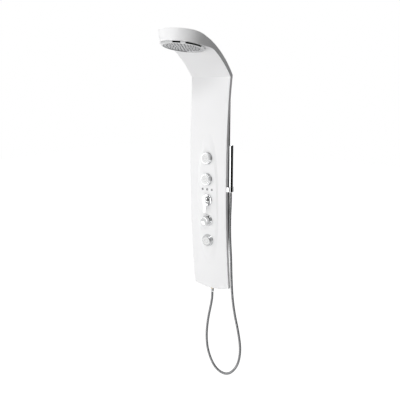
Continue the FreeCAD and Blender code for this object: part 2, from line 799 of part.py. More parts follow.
def diverter_body():
    cup = on_island(diverter_drop, upright(diverter_cup_radius, diverter_back, mixer_cup_front))
    port = pipe_radius + 2.5
    top = upright(port, diverter_up, diverter_up + diverter_cup_radius + 8, 0, -link_out)
    low = upright(port, diverter_up - diverter_cup_radius - 6, diverter_up, 0, -link_out)
    reach = diverter_cup_radius + 7
    left_port = Vector(-reach, -branch_pipe_out(diverter_up), diverter_up)
    right_port = Vector(0, -link_out, diverter_up)
    body = cup.fuse(top).fuse(low)
    body = body.fuse(cylinder(port, left_port, X_AXIS, reach))
    body = body.fuse(cylinder(port, right_port, X_AXIS, reach))
    hollow = upright(diverter_cartridge_radius + cartridge_fit, diverter_back + 3, mixer_cup_front + 1)
    return body.cut(on_island(diverter_drop, hollow))


def diverter_cartridge():
    body = upright(diverter_cartridge_radius, diverter_back + 3, diverter_cartridge_front)
    body = body.cut(upright(5.4, diverter_cartridge_front - 10, diverter_cartridge_front + 1))
    return on_island(diverter_drop, body)


def diverter_spindle():
    half = knob_spindle_half
    pin = Part.makeBox(2 * half, 2 * half, 34, Vector(-half, -half, -14))
    return on_island(diverter_drop, pin)


def diverter_knob():
    """A drum with a shallow dished front and fine grip flutes."""
    profile = [(0, knob_back), (knob_radius - 1, knob_back), (knob_radius, knob_back + 1),
               (knob_radius, knob_front - 2.0), (knob_radius - 0.6, knob_front - 0.6),
               (knob_radius - 2.0, knob_front), (knob_radius - 4.5, knob_front), (0, knob_front - 1.6)]
    knob = revolve(profile)
    for i in range(knob_flute_count):
        angle = 2 * pi * i / knob_flute_count
        x = (knob_radius + 1.1) * cos(angle)
        y = (knob_radius + 1.1) * sin(angle)
        knob = knob.cut(upright(1.7, knob_back - 1, knob_front - 6, x, y))
    half = knob_spindle_half + spindle_fit
    knob = knob.cut(Part.makeBox(2 * half, 2 * half, 13.2, Vector(-half, -half, knob_back - 0.5)))
    return on_island(diverter_drop, knob)


# ---- Nozzles ---------------------------------------------------------------------------------------
def nozzle(point, along, foot_radius, tip_radius, height):
    """Six-sided soft nozzle that tapers from its foot to its tip."""
    across_way = X_AXIS.cross(along)
    rings = []
    for radius, lift in ((foot_radius, 0.0), (tip_radius, height)):
        ring = [point + along * lift + X_AXIS * (radius * cos(2 * pi * i / 6))
                + across_way * (radius * sin(2 * pi * i / 6)) for i in range(6)]
        rings.append(Part.makePolygon(ring + [ring[0]]))
    return Part.makeLoft(rings, True, True)


# ---- Body jets -------------------------------------------------------------------------------------
groove_inner = 29.6
tongue_gap = 0.3
gasket_height = 2.0
nut_gap = 0.3                # behind the shell's curved inner face
jet_nut_radius = 33.5
jet_nut_height = 6.0
jet_cap_height = 11.5
jet_port_x = 36.0            # where the jet's side port meets the supply pipe
jet_pipe_bend = 300.0        # follows the panel's curve past the middle jet


def jet_port(drop):
    """Depth of a jet's side port from the wall."""
    return front_out(crease_up - drop, island_height) - jet_shank_depth - jet_cap_height / 2


def sphere_radius_at(radius, z):
    return sqrt(radius ** 2 - (z - ball_centre) ** 2)


def ball_zone(radius, low, high):
    """The part of the ball between two planes square to the jet's axis."""
    ball = Part.makeSphere(radius, Vector(0, 0, ball_centre))
    return ball.common(upright(radius + 5, low, high))


def jet_ring():
    """Base ring and its threaded shank, with the rear half of the ball's seat."""
    seat = ball_radius + ball_clearance
    ring = revolve([(22.5, -jet_shank_depth), (jet_shank_radius, -jet_shank_depth), (jet_shank_radius, 0),
                    (ring_radius, 0), (ring_radius, ring_height - 1.2), (ring_radius - 1.2, ring_height),
                    (22.5, ring_height)])
    ring = ring.cut(Part.makeSphere(seat, Vector(0, 0, ball_centre)))
    groove = tube(collar_radius + tongue_gap, groove_inner, ring_height - 3, ring_height + 1)
    return ring.cut(groove)


def jet_collar():
    """Front half of the ball's seat; its tongue turns in the base ring's groove."""
    seat = ball_radius + ball_clearance
    low = ring_height + tongue_gap
    drum = revolve([(20, low), (collar_radius, low), (collar_radius, collar_front - 3.5),
                    (collar_radius - 0.7, collar_front - 1.4), (collar_radius - 2.2, collar_front), (20, collar_front)])
    drum = drum.cut(Part.makeSphere(seat, Vector(0, 0, ball_centre)))
    tongue = tube(collar_radius, groove_inner + tongue_gap, ring_height - 2.7, low + 0.5)
    return drum.fuse(tongue)


face_recess = 1.2
face_plate_radius = 23.2


def jet_head():
    """Chrome rim of the swivelling ball, hollow behind its face plate."""
    head = ball_zone(ball_radius, ball_back, jet_face)
    head = head.cut(upright(face_plate_radius, jet_face - face_recess - 2, jet_face + 1))
    return head.cut(upright(face_plate_radius - 3, ball_back - 1, jet_face))


def jet_face_plate():
    """White plate with two rings of soft nozzles and one in the middle."""
    top = jet_face - face_recess / 2
    plate = upright(face_plate_radius, jet_face - face_recess - 2, top)
    nozzles = []
    for count, radius in zip([1] + nozzle_ring_counts, [0.0] + nozzle_ring_radii):
        for i in range(count):
            x = radius * cos(2 * pi * i / count)
            y = radius * sin(2 * pi * i / count)
            nozzles.append(nozzle(Vector(x, y, top - 1), Z_AXIS, nozzle_radius, nozzle_radius * 0.7,
                                  nozzle_height + 1))
    return plate.multiFuse(nozzles)


def jet_body(drop):
    """Rear cap with the side port."""
    front = -jet_shank_depth
    cap = upright(jet_shank_radius, front - jet_cap_height, front)
    cap = cap.cut(upright(20, front - jet_cap_height + 3, front + 1))
    cap = on_island(drop, cap)
    up = crease_up - drop
    port = cylinder(pipe_radius, Vector(-jet_port_x, -jet_port(drop), up), X_AXIS, jet_port_x - jet_shank_radius + 3)
    return cap.fuse(port)


# ---- Overhead shower ---------------------------------------------------------------------------------
spray_plate_radius = head_ring_inner + 2.7
spray_plate_wall = 2.0
spray_plate_low = -8.0
spray_ring_radii = [16.0, 32.0, 48.0, 64.0, 80.0]
spray_ring_counts = [6, 12, 18, 24, 30]
spray_nozzle_radius = 1.9
spray_nozzle_height = 2.2
chamber_wall = 2.5
chamber_top = 17.0
seal_height = 1.5
inlet_spigot_radius = 6.2
flange_back = head_radius - 20.5   # the flanges stop here, where the arm gets thin
inlet_notch_half = 9.0
inlet_notch_depth = 7.0
riser_above_shell = 1.6      # riser in the arm, over the shell's inner face
riser_end_slope = 33.5


def head_ring():
    """Chrome bezel: it hangs below the shell and its flange sits on the shell's pads."""
    flange_low = head_pad_height
    flange_top = head_pad_height + head_flange_wall
    inner = spray_plate_radius + 0.3
    ring = revolve([(head_ring_inner, -head_ring_drop), (head_ring_radius - 1.2, -head_ring_drop),
                    (head_ring_radius, -head_ring_drop + 1.2), (head_ring_radius, flange_low),
                    (head_flange_radius, flange_low), (head_flange_radius, flange_top), (inner, flange_top),
                    (inner, spray_plate_low), (head_ring_inner, spray_plate_low)])
    for p in head_screw_points(flange_low):
        ring = ring.fuse(flange_ear(p, flange_low, flange_top))
    for p in head_screw_points(flange_low):
        ring = ring.cut(upright(head_screw_radius + 0.2, p.z - 1, flange_top + 1, p.x, p.y))
    ring = ring.cut(behind_flange(flange_low))
    notch_start = head_ring_inner - 20
    notch = Part.makeBox(2 * inlet_notch_half, head_radius / 2, head_radius / 4,
                         Vector(side_pipe_x - inlet_notch_half, notch_start, -inlet_notch_depth))
    return in_head(ring.cut(notch))


def flange_ear(point, low, top):
    """Round ear for a screw, joined to the flange by a web."""
    ear = upright(ear_radius, low, top, point.x, point.y)
    inward = point * ((head_ring_radius - 2) / head_screw_circle)
    web = upright(ear_radius, low, top, inward.x, inward.y)
    return ear.fuse(web.cut(upright(head_ring_radius - 1, low - 1, top + 1)))


def behind_flange(low):
    """Space over the arm's thin end, which the flanges of ring and chamber leave free."""
    return Part.makeBox(arm_width, arm_width, arm_width, Vector(-arm_width / 2, flange_back, low))


def spray_plate():
    plate = upright(spray_plate_radius, spray_plate_low, spray_plate_low + spray_plate_wall)
    nozzles = []
    for count, radius in zip([1] + spray_ring_counts, [0.0] + spray_ring_radii):
        for i in range(count):
            x = radius * cos(2 * pi * i / count)
            y = radius * sin(2 * pi * i / count)
            nozzles.append(nozzle(Vector(x, y, spray_plate_low + 1), -Z_AXIS, spray_nozzle_radius,
                                  spray_nozzle_radius * 0.65, spray_nozzle_height + 1))
    return in_head(plate.multiFuse(nozzles))


def head_seal():
    low = spray_plate_low + spray_plate_wall
    return in_head(tube(spray_plate_radius, spray_plate_radius - 4, low, low + seal_height))


def head_chamber():
    """Water chamber over the spray plate, closed below by plate and seal."""
    low = spray_plate_low + spray_plate_wall + seal_height
    flange_low = head_pad_height + head_flange_wall
    outer = spray_plate_radius
    chamber = revolve([(outer - chamber_wall, low), (outer, low), (outer, flange_low),
                       (head_flange_radius, flange_low), (head_flange_radius, flange_low + head_flange_wall),
                       (outer, flange_low + head_flange_wall), (outer - 14, chamber_top), (0, chamber_top),
                       (0, chamber_top - chamber_wall), (outer - 15, chamber_top - chamber_wall),
                       (outer - chamber_wall, flange_low)])
    for p in head_screw_points(flange_low):
        chamber = chamber.fuse(flange_ear(p, flange_low, flange_low + head_flange_wall))
    chamber = in_head(chamber.cut(behind_flange(flange_low)))
    start = riser_end()
    ahead = slope_vector(riser_end_slope)
    spigot = cylinder(inlet_spigot_radius, start, ahead, 20)
    inside = in_head(upright(outer - chamber_wall - 0.5, low, chamber_top - chamber_wall - 0.5))
    chamber = chamber.fuse(spigot.cut(inside))
    chamber = chamber.cut(cylinder(pipe_radius - 1, start + ahead * 2, ahead, 24))
    for p in head_screw_points(flange_low):
        hole = upright(head_screw_radius + 0.2, p.z - 1, flange_low + head_flange_wall + 1, p.x, p.y)
        chamber = chamber.cut(in_head(hole))
    return chamber


def riser_radius():
    """Radius of the riser's middle line in the arm, about the centre of the arm's underside."""
    return arm_radius + shell_wall + riser_above_shell + pipe_radius


def riser_end():
    """Where the riser meets the chamber's spigot."""
    on_circle = arm_centre - below_slope(riser_end_slope) * riser_radius()
    return on_circle + X_AXIS * side_pipe_x + slope_vector(riser_end_slope)


def head_screws():
    seat = head_pad_height + 2 * head_flange_wall
    screws = []
    for p in head_screw_points(seat):
        screw = pan_screw(head_screw_radius, seat - 1.0, 3.6, 2.4)
        screw.translate(p)
        screws.append(in_head(screw))
    return Part.makeCompound(screws)


riser_start_slope = 51.0


def tangents_meet(point_a, slope_a, point_b, slope_b):
    """Where two sloped lines in a plane square to X meet."""
    a = slope_vector(slope_a)
    b = slope_vector(slope_b)
    gap = point_b - point_a
    share = (gap.y * b.z - gap.z * b.y) / (a.y * b.z - a.z * b.y)
    return point_a + a * share


def head_riser():
    """Supply pipe from the diverter up the panel, through the tray and along the arm."""
    port_x = diverter_cup_radius + 7
    radius = riser_radius()
    start_touch = arm_centre - below_slope(riser_start_slope) * radius + X_AXIS * side_pipe_x
    stop = riser_end()
    low = Vector(side_pipe_x, -riser_crease_out, crease_up - 60)
    corner = tangents_meet(low, 90.0, start_touch, riser_start_slope)
    bend = tangents_meet(start_touch, riser_start_slope, stop, riser_end_slope)
    points = [Vector(port_x, -link_out, diverter_up), Vector(side_pipe_x, -link_out, diverter_up),
              Vector(side_pipe_x, -40.0, mixer_up - 45), Vector(side_pipe_x, -40.5, mixer_up + 60),
              low, corner, bend, stop]
    return pipe_along(points, [8, 60, 60, 60, 25, radius], pipe_radius)


def jet_pipe():
    """Supply pipe of the three jets, with a stub to each port and to the diverter."""
    tops = [Vector(-jet_port_x - pipe_radius, -jet_port(drop), crease_up - drop) for drop in jet_drops]
    tops[0].z += pipe_radius
    tops[2].z -= pipe_radius
    pipe = pipe_along(tops, [jet_pipe_bend], pipe_radius)
    reach = diverter_cup_radius + 7
    start = Vector(-jet_port_x - pipe_radius, -branch_pipe_out(diverter_up), diverter_up)
    pipe = pipe.fuse(cylinder(pipe_radius, start, X_AXIS, jet_port_x + pipe_radius - reach))
    for drop in jet_drops:
        stub = Vector(-jet_port_x - pipe_radius, -jet_port(drop), crease_up - drop)
        pipe = pipe.fuse(cylinder(pipe_radius, stub, X_AXIS, pipe_radius))
    return pipe


def link_pipe():
    low = diverter_up + diverter_cup_radius + 8
    high = mixer_up - mixer_cup_radius - 8
    return upright(pipe_radius, low, high, 0, -link_out)


outlet_top_up = bottom_up + 14.0
shell_bottom_up = bottom_up - bottom_sagitta


def hose_pipe():
    """Supply pipe from the diverter down behind the lowest jet to the hose outlet."""
    start_up = diverter_up - diverter_cup_radius - 6
    points = [Vector(0, -link_out, start_up), Vector(0, -link_out, start_up - 14),
              Vector(0, -outlet_out, start_up - 70), Vector(0, -outlet_out, outlet_top_up)]
    return pipe_along(points, [25, 40], pipe_radius)


def hose_outlet():
    """Nipple through the bottom of the panel, with a flange and a thread for the hose."""
    flange_low = shell_bottom_up - 2
    body = upright(outlet_neck_radius, flange_low, outlet_top_up, 0, -outlet_out)
    body = body.fuse(upright(outlet_thread_radius + 0.9, flange_low, shell_bottom_up, 0, -outlet_out))
    return body.fuse(upright(outlet_thread_radius, flange_low - outlet_thread_length, flange_low, 0, -outlet_out))


# ---- Handset, holder and hose ----------------------------------------------------------------------
cone_top_radius = 11.0
cone_low_radius = 9.6
cone_clearance = 0.3
cup_radius = 13.6
holder_slot_half = 7.6
holder_arm_half = 8.0
nut_top_up = crease_up - holder_top_drop
nut_low_up = nut_top_up - holder_height - 4
handset_top_up = crease_up - handset_top_drop
spray_slot_length = 62.0
spray_slot_half = 5.0
handset_wall = 2.0
cap_height = 6.0
outlet_nut_radius = 10.0
outlet_nut_height = 15.0
socket_radius = 6.1
foot_gap = 0.2               # between the nut and the stick's foot


def handset_point(up):
    return Vector(handset_x, -handset_out, up)


def handset_holder():
    """A cup on an arm from the panel's side, slotted so that the hose can come out sideways."""
    low = nut_top_up - holder_height
    cup = upright(cup_radius, low, nut_top_up, handset_x, -handset_out)
    half = panel_half_width(holder_middle_up)
    slope = (waist_width - bottom_width) / 2 / (panel_drop - waist_drop)
    x0 = half - 6
    arm = box(x0, handset_x, holder_arm_out - holder_arm_half, holder_arm_out + holder_arm_half, low + 2, nut_top_up - 2)
    bridge = box(handset_x - 14, handset_x, handset_out, holder_arm_out + holder_arm_half, low + 2, nut_top_up - 2)
    arm = arm.fuse(bridge)
    wedge = [Vector(x0 - 20, 0, low - 10), Vector(half + slope * (low - 10 - holder_middle_up), 0, low - 10),
             Vector(half + slope * (nut_top_up + 10 - holder_middle_up), 0, nut_top_up + 10),
             Vector(x0 - 20, 0, nut_top_up + 10)]
    inside_panel = polygon(wedge)
    inside_panel.translate(Vector(0, -UPWARD, 0))
    arm = arm.cut(inside_panel.extrude(Vector(0, 2 * UPWARD, 0)))
    holder = cup.fuse(arm)
    bore = Part.makeCone(cone_low_radius + cone_clearance, cone_top_radius + cone_clearance, holder_height,
                         handset_point(low), Z_AXIS)
    holder = holder.cut(bore)
    slot = box(handset_x, handset_x + 30, handset_out - holder_slot_half, handset_out + holder_slot_half,
               low - 1, nut_top_up + 1)
    holder = holder.cut(slot)
    for up in holder_screw_ups:
        holder = holder.cut(cylinder(holder_screw_radius, Vector(half - 10, -holder_arm_out, up), X_AXIS, 17))
    return holder


def holder_screws():
    """Screws from inside the shell's side into the holder's arm."""
    screws = []
    for up in holder_screw_ups:
        screw = pan_screw(holder_screw_radius, 10, 3.6, 2.4)
        spot = Vector(panel_half_width(up) - shell_wall - 0.05, -holder_arm_out, up)
        screw.Placement = FreeCAD.Placement(spot, FreeCAD.Rotation(Vector(0, 1, 0), -90))
        screws.append(screw)
    return Part.makeCompound(screws)


def hose_cone_nut():
    """Conical swivel nut on the hose, which rests in the holder's cup."""
    height = nut_top_up - nut_low_up
    rest_low = nut_top_up - holder_height
    cone = Part.makeCone(cone_low_radius, cone_top_radius, holder_height, handset_point(rest_low), Z_AXIS)
    foot = Part.makeCone(hose_radius + 0.8, cone_low_radius, height - holder_height, handset_point(nut_low_up), Z_AXIS)
    spigot = upright(socket_radius - 0.05, nut_top_up - 1, nut_top_up + 6, handset_x, -handset_out)
    return cone.fuse(foot).fuse(spigot).removeSplitter()


def handset_tube():
    """The stick: a straight tube with a slot for the spray insert near its top."""
    low = nut_top_up + foot_gap
    high = handset_top_up - cap_height
    stick = upright(handset_radius, low, high, handset_x, -handset_out)
    inner = upright(handset_radius - handset_wall, low + 7, high + 1, handset_x, -handset_out)
    stick = stick.cut(inner)
    slot_top = high - 8
    slot = box(handset_x - spray_slot_half, handset_x + spray_slot_half, 0, handset_out,
               slot_top - spray_slot_length, slot_top)
    stick = stick.cut(slot)
    socket = upright(socket_radius, low - 1, low + 8, handset_x, -handset_out)
    return stick.cut(socket)


def handset_spray():
    """Insert with a double row of nozzles, flush with the stick's side that faces the wall."""
    slot_top = handset_top_up - cap_height - 8
    low = slot_top - spray_slot_length
    clear = 0.05
    block = box(handset_x - spray_slot_half + clear, handset_x + spray_slot_half - clear,
                handset_out - handset_radius - 2, handset_out - 4, low + clear, slot_top - clear)
    round_side = upright(handset_radius - 0.4, low, slot_top, handset_x, -handset_out)
    insert = block.common(round_side)
    nozzles = []
    count = 8
    for i in range(count):
        up = low + (i + 0.5) * spray_slot_length / count
        for x in (-2.2, 2.2):
            start = Vector(handset_x + x, -handset_out + handset_radius - 1.6, up)
            nozzles.append(nozzle(start, Y_AXIS, 1.0, 0.7, 2.2))
    return insert.multiFuse(nozzles)


def handset_cap():
    """Domed end cap with a spigot inside the tube."""
    low = handset_top_up - cap_height
    cap = revolve([(0, low - 5), (handset_radius - handset_wall - 0.05, low - 5),
                   (handset_radius - handset_wall - 0.05, low), (handset_radius, low),
                   (handset_radius, low + 3.5), (handset_radius - 0.8, low + 5.2), (handset_radius - 2.6, low + 6),
                   (0, low + 6)])
    cap.translate(Vector(handset_x, -handset_out, 0))
    return cap


def hose_outlet_nut():
    """Hexagonal swivel nut that joins the hose to the outlet, with a short tapered sleeve."""
    top = shell_bottom_up - 2
    low = top - outlet_nut_height
    hexagon = [Vector(outlet_nut_radius * cos(radians(60 * i)), outlet_nut_radius * sin(radians(60 * i)), low)
               for i in range(6)]
    nut = polygon(hexagon).extrude(Z_AXIS * outlet_nut_height)
    sleeve = Part.makeCone(hose_radius + 0.6, outlet_nut_radius - 1.4, 7, Vector(0, 0, low - 7), Z_AXIS)
    nut = nut.fuse(sleeve)
    nut.translate(Vector(0, -outlet_out, 0))
    thread = upright(outlet_thread_radius, top - outlet_thread_length, top + 1, 0, -outlet_out)
    return nut.cut(thread)


# The hose leaves the cone nut, hangs down beside the panel, swings out, turns below the panel and
# comes back up to the outlet. The points are (x, out, up).
hose_start_up = nut_low_up
hose_end_up = shell_bottom_up - 2 - outlet_nut_height - 7
edge_x = arm_width / 2
hose_points = [
    (handset_x, handset_out, hose_start_up),
    (handset_x, handset_out, hose_start_up - 61.0),
    (edge_x + 3.5, 33.8, -640.0),
    (edge_x + 4.5, 33.0, -745.0),
    (edge_x + 11.5, 32.0, -850.0),
    (edge_x + 14.0, 31.0, -950.0),
    (edge_x + 20.0, 30.0, -1065.0),
    (edge_x + 35.0, 29.0, -1165.0),
    (edge_x + 62.0, 27.5, -1268.0),
    (edge_x + 78.0, 26.0, -1375.0),
    (edge_x + 55.0, 24.5, -1475.0),
    (112.0, 22.5, -1545.0),
    (28.0, 20.5, -1528.0),
    (-25.0, 19.0, -1440.0),
    (-38.0, 17.5, -1345.0),
    (-28.0, 16.0, -1245.0),
    (-9.0, 14.5, -1160.0),
    (0.0, outlet_out, hose_end_up - 34.0),
    (0.0, outlet_out, hose_end_up),
]


def hose():
    points = [Vector(x, -out, up) for x, out, up in hose_points]
    radii = []
    for before, corner, after in zip(points, points[1:], points[2:]):
        shorter = min((corner - before).Length, (after - corner).Length)
        turn = (corner - before).getAngle(after - corner)
        radii.append(0.45 * shorter / tan(turn / 2))
    print("hose arc radii, mm:", [round(r) for r in radii])
    path = rounded_path(points, radii)
    solid = pipe_along(points, radii, hose_radius)
    print("hose length, mm: %.0f" % path.Length)
    print("hose volume / (section x length): %.4f" % (solid.Volume / (pi * hose_radius ** 2 * path.Length)))
    return solid


# ---- Small trim ------------------------------------------------------------------------------------
def indicator_discs():
    discs = []
    for x in (-disc_pitch, 0.0, disc_pitch):
        discs.append(on_island(disc_drop, revolve([(0, -disc_pocket), (disc_radius - 0.1, -disc_pocket),
                                                    (disc_radius - 0.1, disc_proud - 0.4),
                                                    (disc_radius - 0.6, disc_proud), (0, disc_proud)])
                               .translated(Vector(x, 0, 0))))
    return Part.makeCompound(discs)


def jet_gaskets():
    front = -shell_wall - nut_gap
    ring = tube(jet_nut_radius - 1, jet_shank_radius + 0.2, front - gasket_height, front)
    return Part.makeCompound([on_island(drop, ring) for drop in jet_drops])


def jet_locknuts():
    nut = lock_nut(jet_shank_radius, jet_nut_radius, -shell_wall - nut_gap - gasket_height, jet_nut_height)
    return Part.makeCompound([on_island(drop, nut) for drop in jet_drops])


def build():
    parts["front_shell"] = front_shell()
    parts["arm_cover"] = arm_cover()
    parts["rear_tray"] = rear_tray()
    parts["upper_wall_bracket"] = wall_bracket(bracket_ups[0])
    parts["lower_wall_bracket"] = wall_bracket(bracket_ups[1])
    parts["upper_hanger"] = hanger(bracket_ups[0])
    parts["lower_hanger"] = hanger(bracket_ups[1])
    parts["hanger_screws"] = hanger_screws()
    parts["mixer_body"] = mixer_body()
    parts["mixer_cartridge"] = mixer_cartridge()
    parts["cartridge_nut"] = cartridge_nut()
    parts["mixer_flange"] = cup_flange(mixer_cup_radius, dome_radius + dome_clearance, flange_radius,
                                       flange_height, mixer_drop)
    parts["mixer_locknut"] = on_island(mixer_drop, lock_nut(mixer_cup_radius, locknut_radius,
                                                            -shell_wall - nut_gap, locknut_height))
    parts["mixer_spindle"] = mixer_spindle()
    parts["mixer_dome"] = mixer_dome()
    parts["lever_pin"] = lever_pin()
    parts["mixer_lever"] = mixer_lever()
    parts["diverter_body"] = diverter_body()
    parts["diverter_cartridge"] = diverter_cartridge()
    parts["diverter_flange"] = cup_flange(diverter_cup_radius, diverter_cartridge_radius, diverter_flange_radius,
                                          flange_height - 0.5, diverter_drop)
    parts["diverter_locknut"] = on_island(diverter_drop, lock_nut(diverter_cup_radius, locknut_radius - 4,
                                                                  -shell_wall - nut_gap, locknut_height))
    parts["diverter_spindle"] = diverter_spindle()
    parts["diverter_knob"] = diverter_knob()
    parts["link_pipe"] = link_pipe()
    parts["jet_pipe"] = jet_pipe()
    parts["hose_pipe"] = hose_pipe()
    parts["head_riser"] = head_riser()
    parts["hose_outlet"] = hose_outlet()
    for number, drop in enumerate(jet_drops, 1):
        name = "jet_%d_" % number
        parts[name + "body"] = jet_body(drop)
        parts[name + "ring"] = on_island(drop, jet_ring())
        parts[name + "collar"] = on_island(drop, jet_collar())
        parts[name + "head"] = on_island(drop, jet_head())
        parts[name + "face"] = on_island(drop, jet_face_plate())
    parts["jet_gaskets"] = jet_gaskets()
    parts["jet_locknuts"] = jet_locknuts()
    parts["indicator_discs"] = indicator_discs()
    parts["head_ring"] = head_ring()
    parts["spray_plate"] = spray_plate()
    parts["head_seal"] = head_seal()
    parts["head_chamber"] = head_chamber()
    parts["head_screws"] = head_screws()
    parts["handset_holder"] = handset_holder()
    parts["holder_screws"] = holder_screws()
    parts["hose_cone_nut"] = hose_cone_nut()
    parts["handset_tube"] = handset_tube()
    parts["handset_spray"] = handset_spray()
    parts["handset_cap"] = handset_cap()
    parts["hose_outlet_nut"] = hose_outlet_nut()
    parts["hose"] = hose()


os.makedirs("parts", exist_ok=True)
build()
for node, shape in parts.items():
    state = "" if shape.isValid() else "  NOT VALID"
    print("%-20s solids %2d  volume %10.0f%s" % (node, len(shape.Solids), shape.Volume, state))
    shape.exportStep("parts/" + node + ".step")
print(len(parts), "nodes")
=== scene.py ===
import json
from math import cos, pi, radians, sin

import bmesh
import bpy
from mathutils import Matrix, Vector


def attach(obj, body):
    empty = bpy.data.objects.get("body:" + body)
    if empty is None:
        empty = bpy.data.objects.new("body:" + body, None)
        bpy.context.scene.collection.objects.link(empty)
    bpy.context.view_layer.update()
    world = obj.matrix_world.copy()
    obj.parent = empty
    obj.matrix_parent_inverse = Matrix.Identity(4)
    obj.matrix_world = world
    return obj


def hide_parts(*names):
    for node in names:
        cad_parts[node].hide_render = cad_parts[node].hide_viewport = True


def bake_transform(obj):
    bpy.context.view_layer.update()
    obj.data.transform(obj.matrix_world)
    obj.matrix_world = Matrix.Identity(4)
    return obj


bl_info = {
    "name": "Shower Panel Column",
    "version": (1, 0, 0),
    "blender": (4, 2, 0),
    "location": "View3D > Sidebar > Shower",
    "description": "Dresses the shower panel column: shell, jets, mixer, overhead shower, handset and hose",
    "category": "Object",
}

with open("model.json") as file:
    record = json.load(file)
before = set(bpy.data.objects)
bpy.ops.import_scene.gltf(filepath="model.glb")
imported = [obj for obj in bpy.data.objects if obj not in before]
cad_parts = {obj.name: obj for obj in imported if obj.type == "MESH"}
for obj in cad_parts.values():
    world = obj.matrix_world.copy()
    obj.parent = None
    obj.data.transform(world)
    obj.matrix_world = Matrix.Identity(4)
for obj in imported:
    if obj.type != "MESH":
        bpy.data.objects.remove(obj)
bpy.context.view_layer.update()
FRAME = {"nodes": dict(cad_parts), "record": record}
SLOT_OF = {row["node"]: row["material_slot"] for row in FRAME["record"]["subparts"]}
BODY_OF = {node: body for body, nodes in FRAME["record"]["behaviour"]["bodies"].items() for node in nodes}

# Lengths are in metres.

# Edges sharper than these angles stay sharp. The raised island's slopes are only a few degrees steep, so
# the front of the panel has an angle of its own: below its top, in front of its back, within its width.
CREASE = radians(32)
ISLAND_CREASE = radians(3.2)
NOZZLE_CREASE = radians(40)
WELD = 0.000002              # points closer than this become one
PANEL_TOP = 0.098
PANEL_BACK = -0.02
PANEL_HALF_WIDTH = 0.112

# The hose's middle line from the cone nut to the outlet nut.
HOSE_LINE = [
    (0.133, -0.034, -0.499), (0.133, -0.034, -0.560), (0.1285, -0.0338, -0.640), (0.1295, -0.033, -0.745),
    (0.1365, -0.032, -0.850), (0.139, -0.031, -0.950), (0.145, -0.030, -1.065), (0.160, -0.029, -1.165),
    (0.187, -0.0275, -1.268), (0.203, -0.026, -1.375), (0.180, -0.0245, -1.475), (0.112, -0.0225, -1.545),
    (0.028, -0.0205, -1.528), (-0.025, -0.019, -1.440), (-0.038, -0.0175, -1.345), (-0.028, -0.016, -1.245),
    (-0.009, -0.0145, -1.160), (0.0, -0.013, -1.1116), (0.0, -0.013, -1.0776),
]
HOSE_SIDES = 16
STEPS_PER_RIB = 6

# The three body jets: where each sits on the raised island and the way it points, and its rings of nozzles.
JET_PLACES = {
    "jet_1": ((0, -0.06338, -0.323), (0, -0.99984, 0.01814)),
    "jet_2": ((0, -0.06421, -0.436), (0, -0.99999, -0.00349)),
    "jet_3": ((0, -0.05222, -0.772), (0, -0.9977, -0.06781)),
}
JET_PLATE_FRONT = 0.0204     # the jet's plate, in front of the raised island
JET_NOZZLE_RADII = (0.0105, 0.0206)
JET_NOZZLE_COUNTS = (8, 16)
JET_NOZZLE = {"Base Radius": 0.00135, "Tip Radius": 0.00105, "Height": 0.00125}

# Nozzles of the overhead shower, on rings one step apart, each with so many more than the last.
HEAD_CENTRE = (0, -0.264, 0.2506)
HEAD_TILT = radians(10.8)
SPRAY_WAY = (0, -sin(HEAD_TILT), -cos(HEAD_TILT))
SPRAY_PLATE_FRONT = 0.008    # the spray plate, below the head's centre
SPRAY_RING_STEP = 0.016
SPRAY_RING_MORE = 6
SPRAY_RINGS = range(1, 6)
SPRAY_RADII = [SPRAY_RING_STEP * ring for ring in SPRAY_RINGS]
SPRAY_COUNTS = [SPRAY_RING_MORE * ring for ring in SPRAY_RINGS]
SPRAY_NOZZLE = {"Base Radius": 0.0021, "Tip Radius": 0.0015, "Height": 0.00225}
NOZZLE_SIDES = 14

# The camera that matches the photo.
CAMERA_PLACE = (2.001, -2.783, 0.100)
CAMERA_TURN = (radians(79.12), 0, radians(37.0))
CAMERA_LENS = 57.6

WHITE = (1, 1, 1, 1)
FLOOR_HALF = 12.0
FLOOR_GLOW = 1.15            # the floor's own light, for the camera and for reflections alone,
FLOOR_GLOW_SHARE = 0.9       # and its share there; the rest is the floor's colour with its shadows
CARD_BLACK = (0.015, 0.015, 0.015)
UP_OR_DOWN = 0.9             # a card that faces further up or down than this has its width along X

GLOSSIEST = 0.02             # the least roughness that mottling leaves
RELIEF_HEIGHT = 0.0002
NOISE_DETAIL = 3.0


# ---- Finishes -----------------------------------------------------------------------------------
def shader(name, colour, roughness, metallic=0.0, specular=0.5):
    """A material with one Principled shader; constants sit on its own sockets."""
    material = bpy.data.materials.new(name)
    material.use_nodes = True
    surface = material.node_tree.nodes["Principled BSDF"]
    surface.inputs["Base Color"].default_value = (*colour[:3], 1.0)
    surface.inputs["Roughness"].default_value = roughness
    surface.inputs["Metallic"].default_value = metallic
    surface.inputs["Specular IOR Level"].default_value = specular
    material.diffuse_color = (*colour[:3], 1.0)
    return material


def noise_on(material, scale, stretch):
    """Noise on object coordinates, drawn out along an axis where brushing needs it."""
    tree = material.node_tree
    place = tree.nodes.new("ShaderNodeTexCoord")
    mapping = tree.nodes.new("ShaderNodeMapping")
    mapping.inputs["Scale"].default_value = stretch
    noise = tree.nodes.new("ShaderNodeTexNoise")
    noise.inputs["Scale"].default_value = scale
    noise.inputs["Detail"].default_value = NOISE_DETAIL
    tree.links.new(place.outputs["Object"], mapping.inputs["Vector"])
    tree.links.new(mapping.outputs["Vector"], noise.inputs["Vector"])
    return noise


def relief(material, scale, strength, stretch=(1, 1, 1)):
    """Fine surface relief: orange peel, casting skin or brushing."""
    tree = material.node_tree
    noise = noise_on(material, scale, stretch)
    bump = tree.nodes.new("ShaderNodeBump")
    bump.inputs["Strength"].default_value = strength
    bump.inputs["Distance"].default_value = RELIEF_HEIGHT
    tree.links.new(noise.outputs["Fac"], bump.inputs["Height"])
    tree.links.new(bump.outputs["Normal"], tree.nodes["Principled BSDF"].inputs["Normal"])
    return material


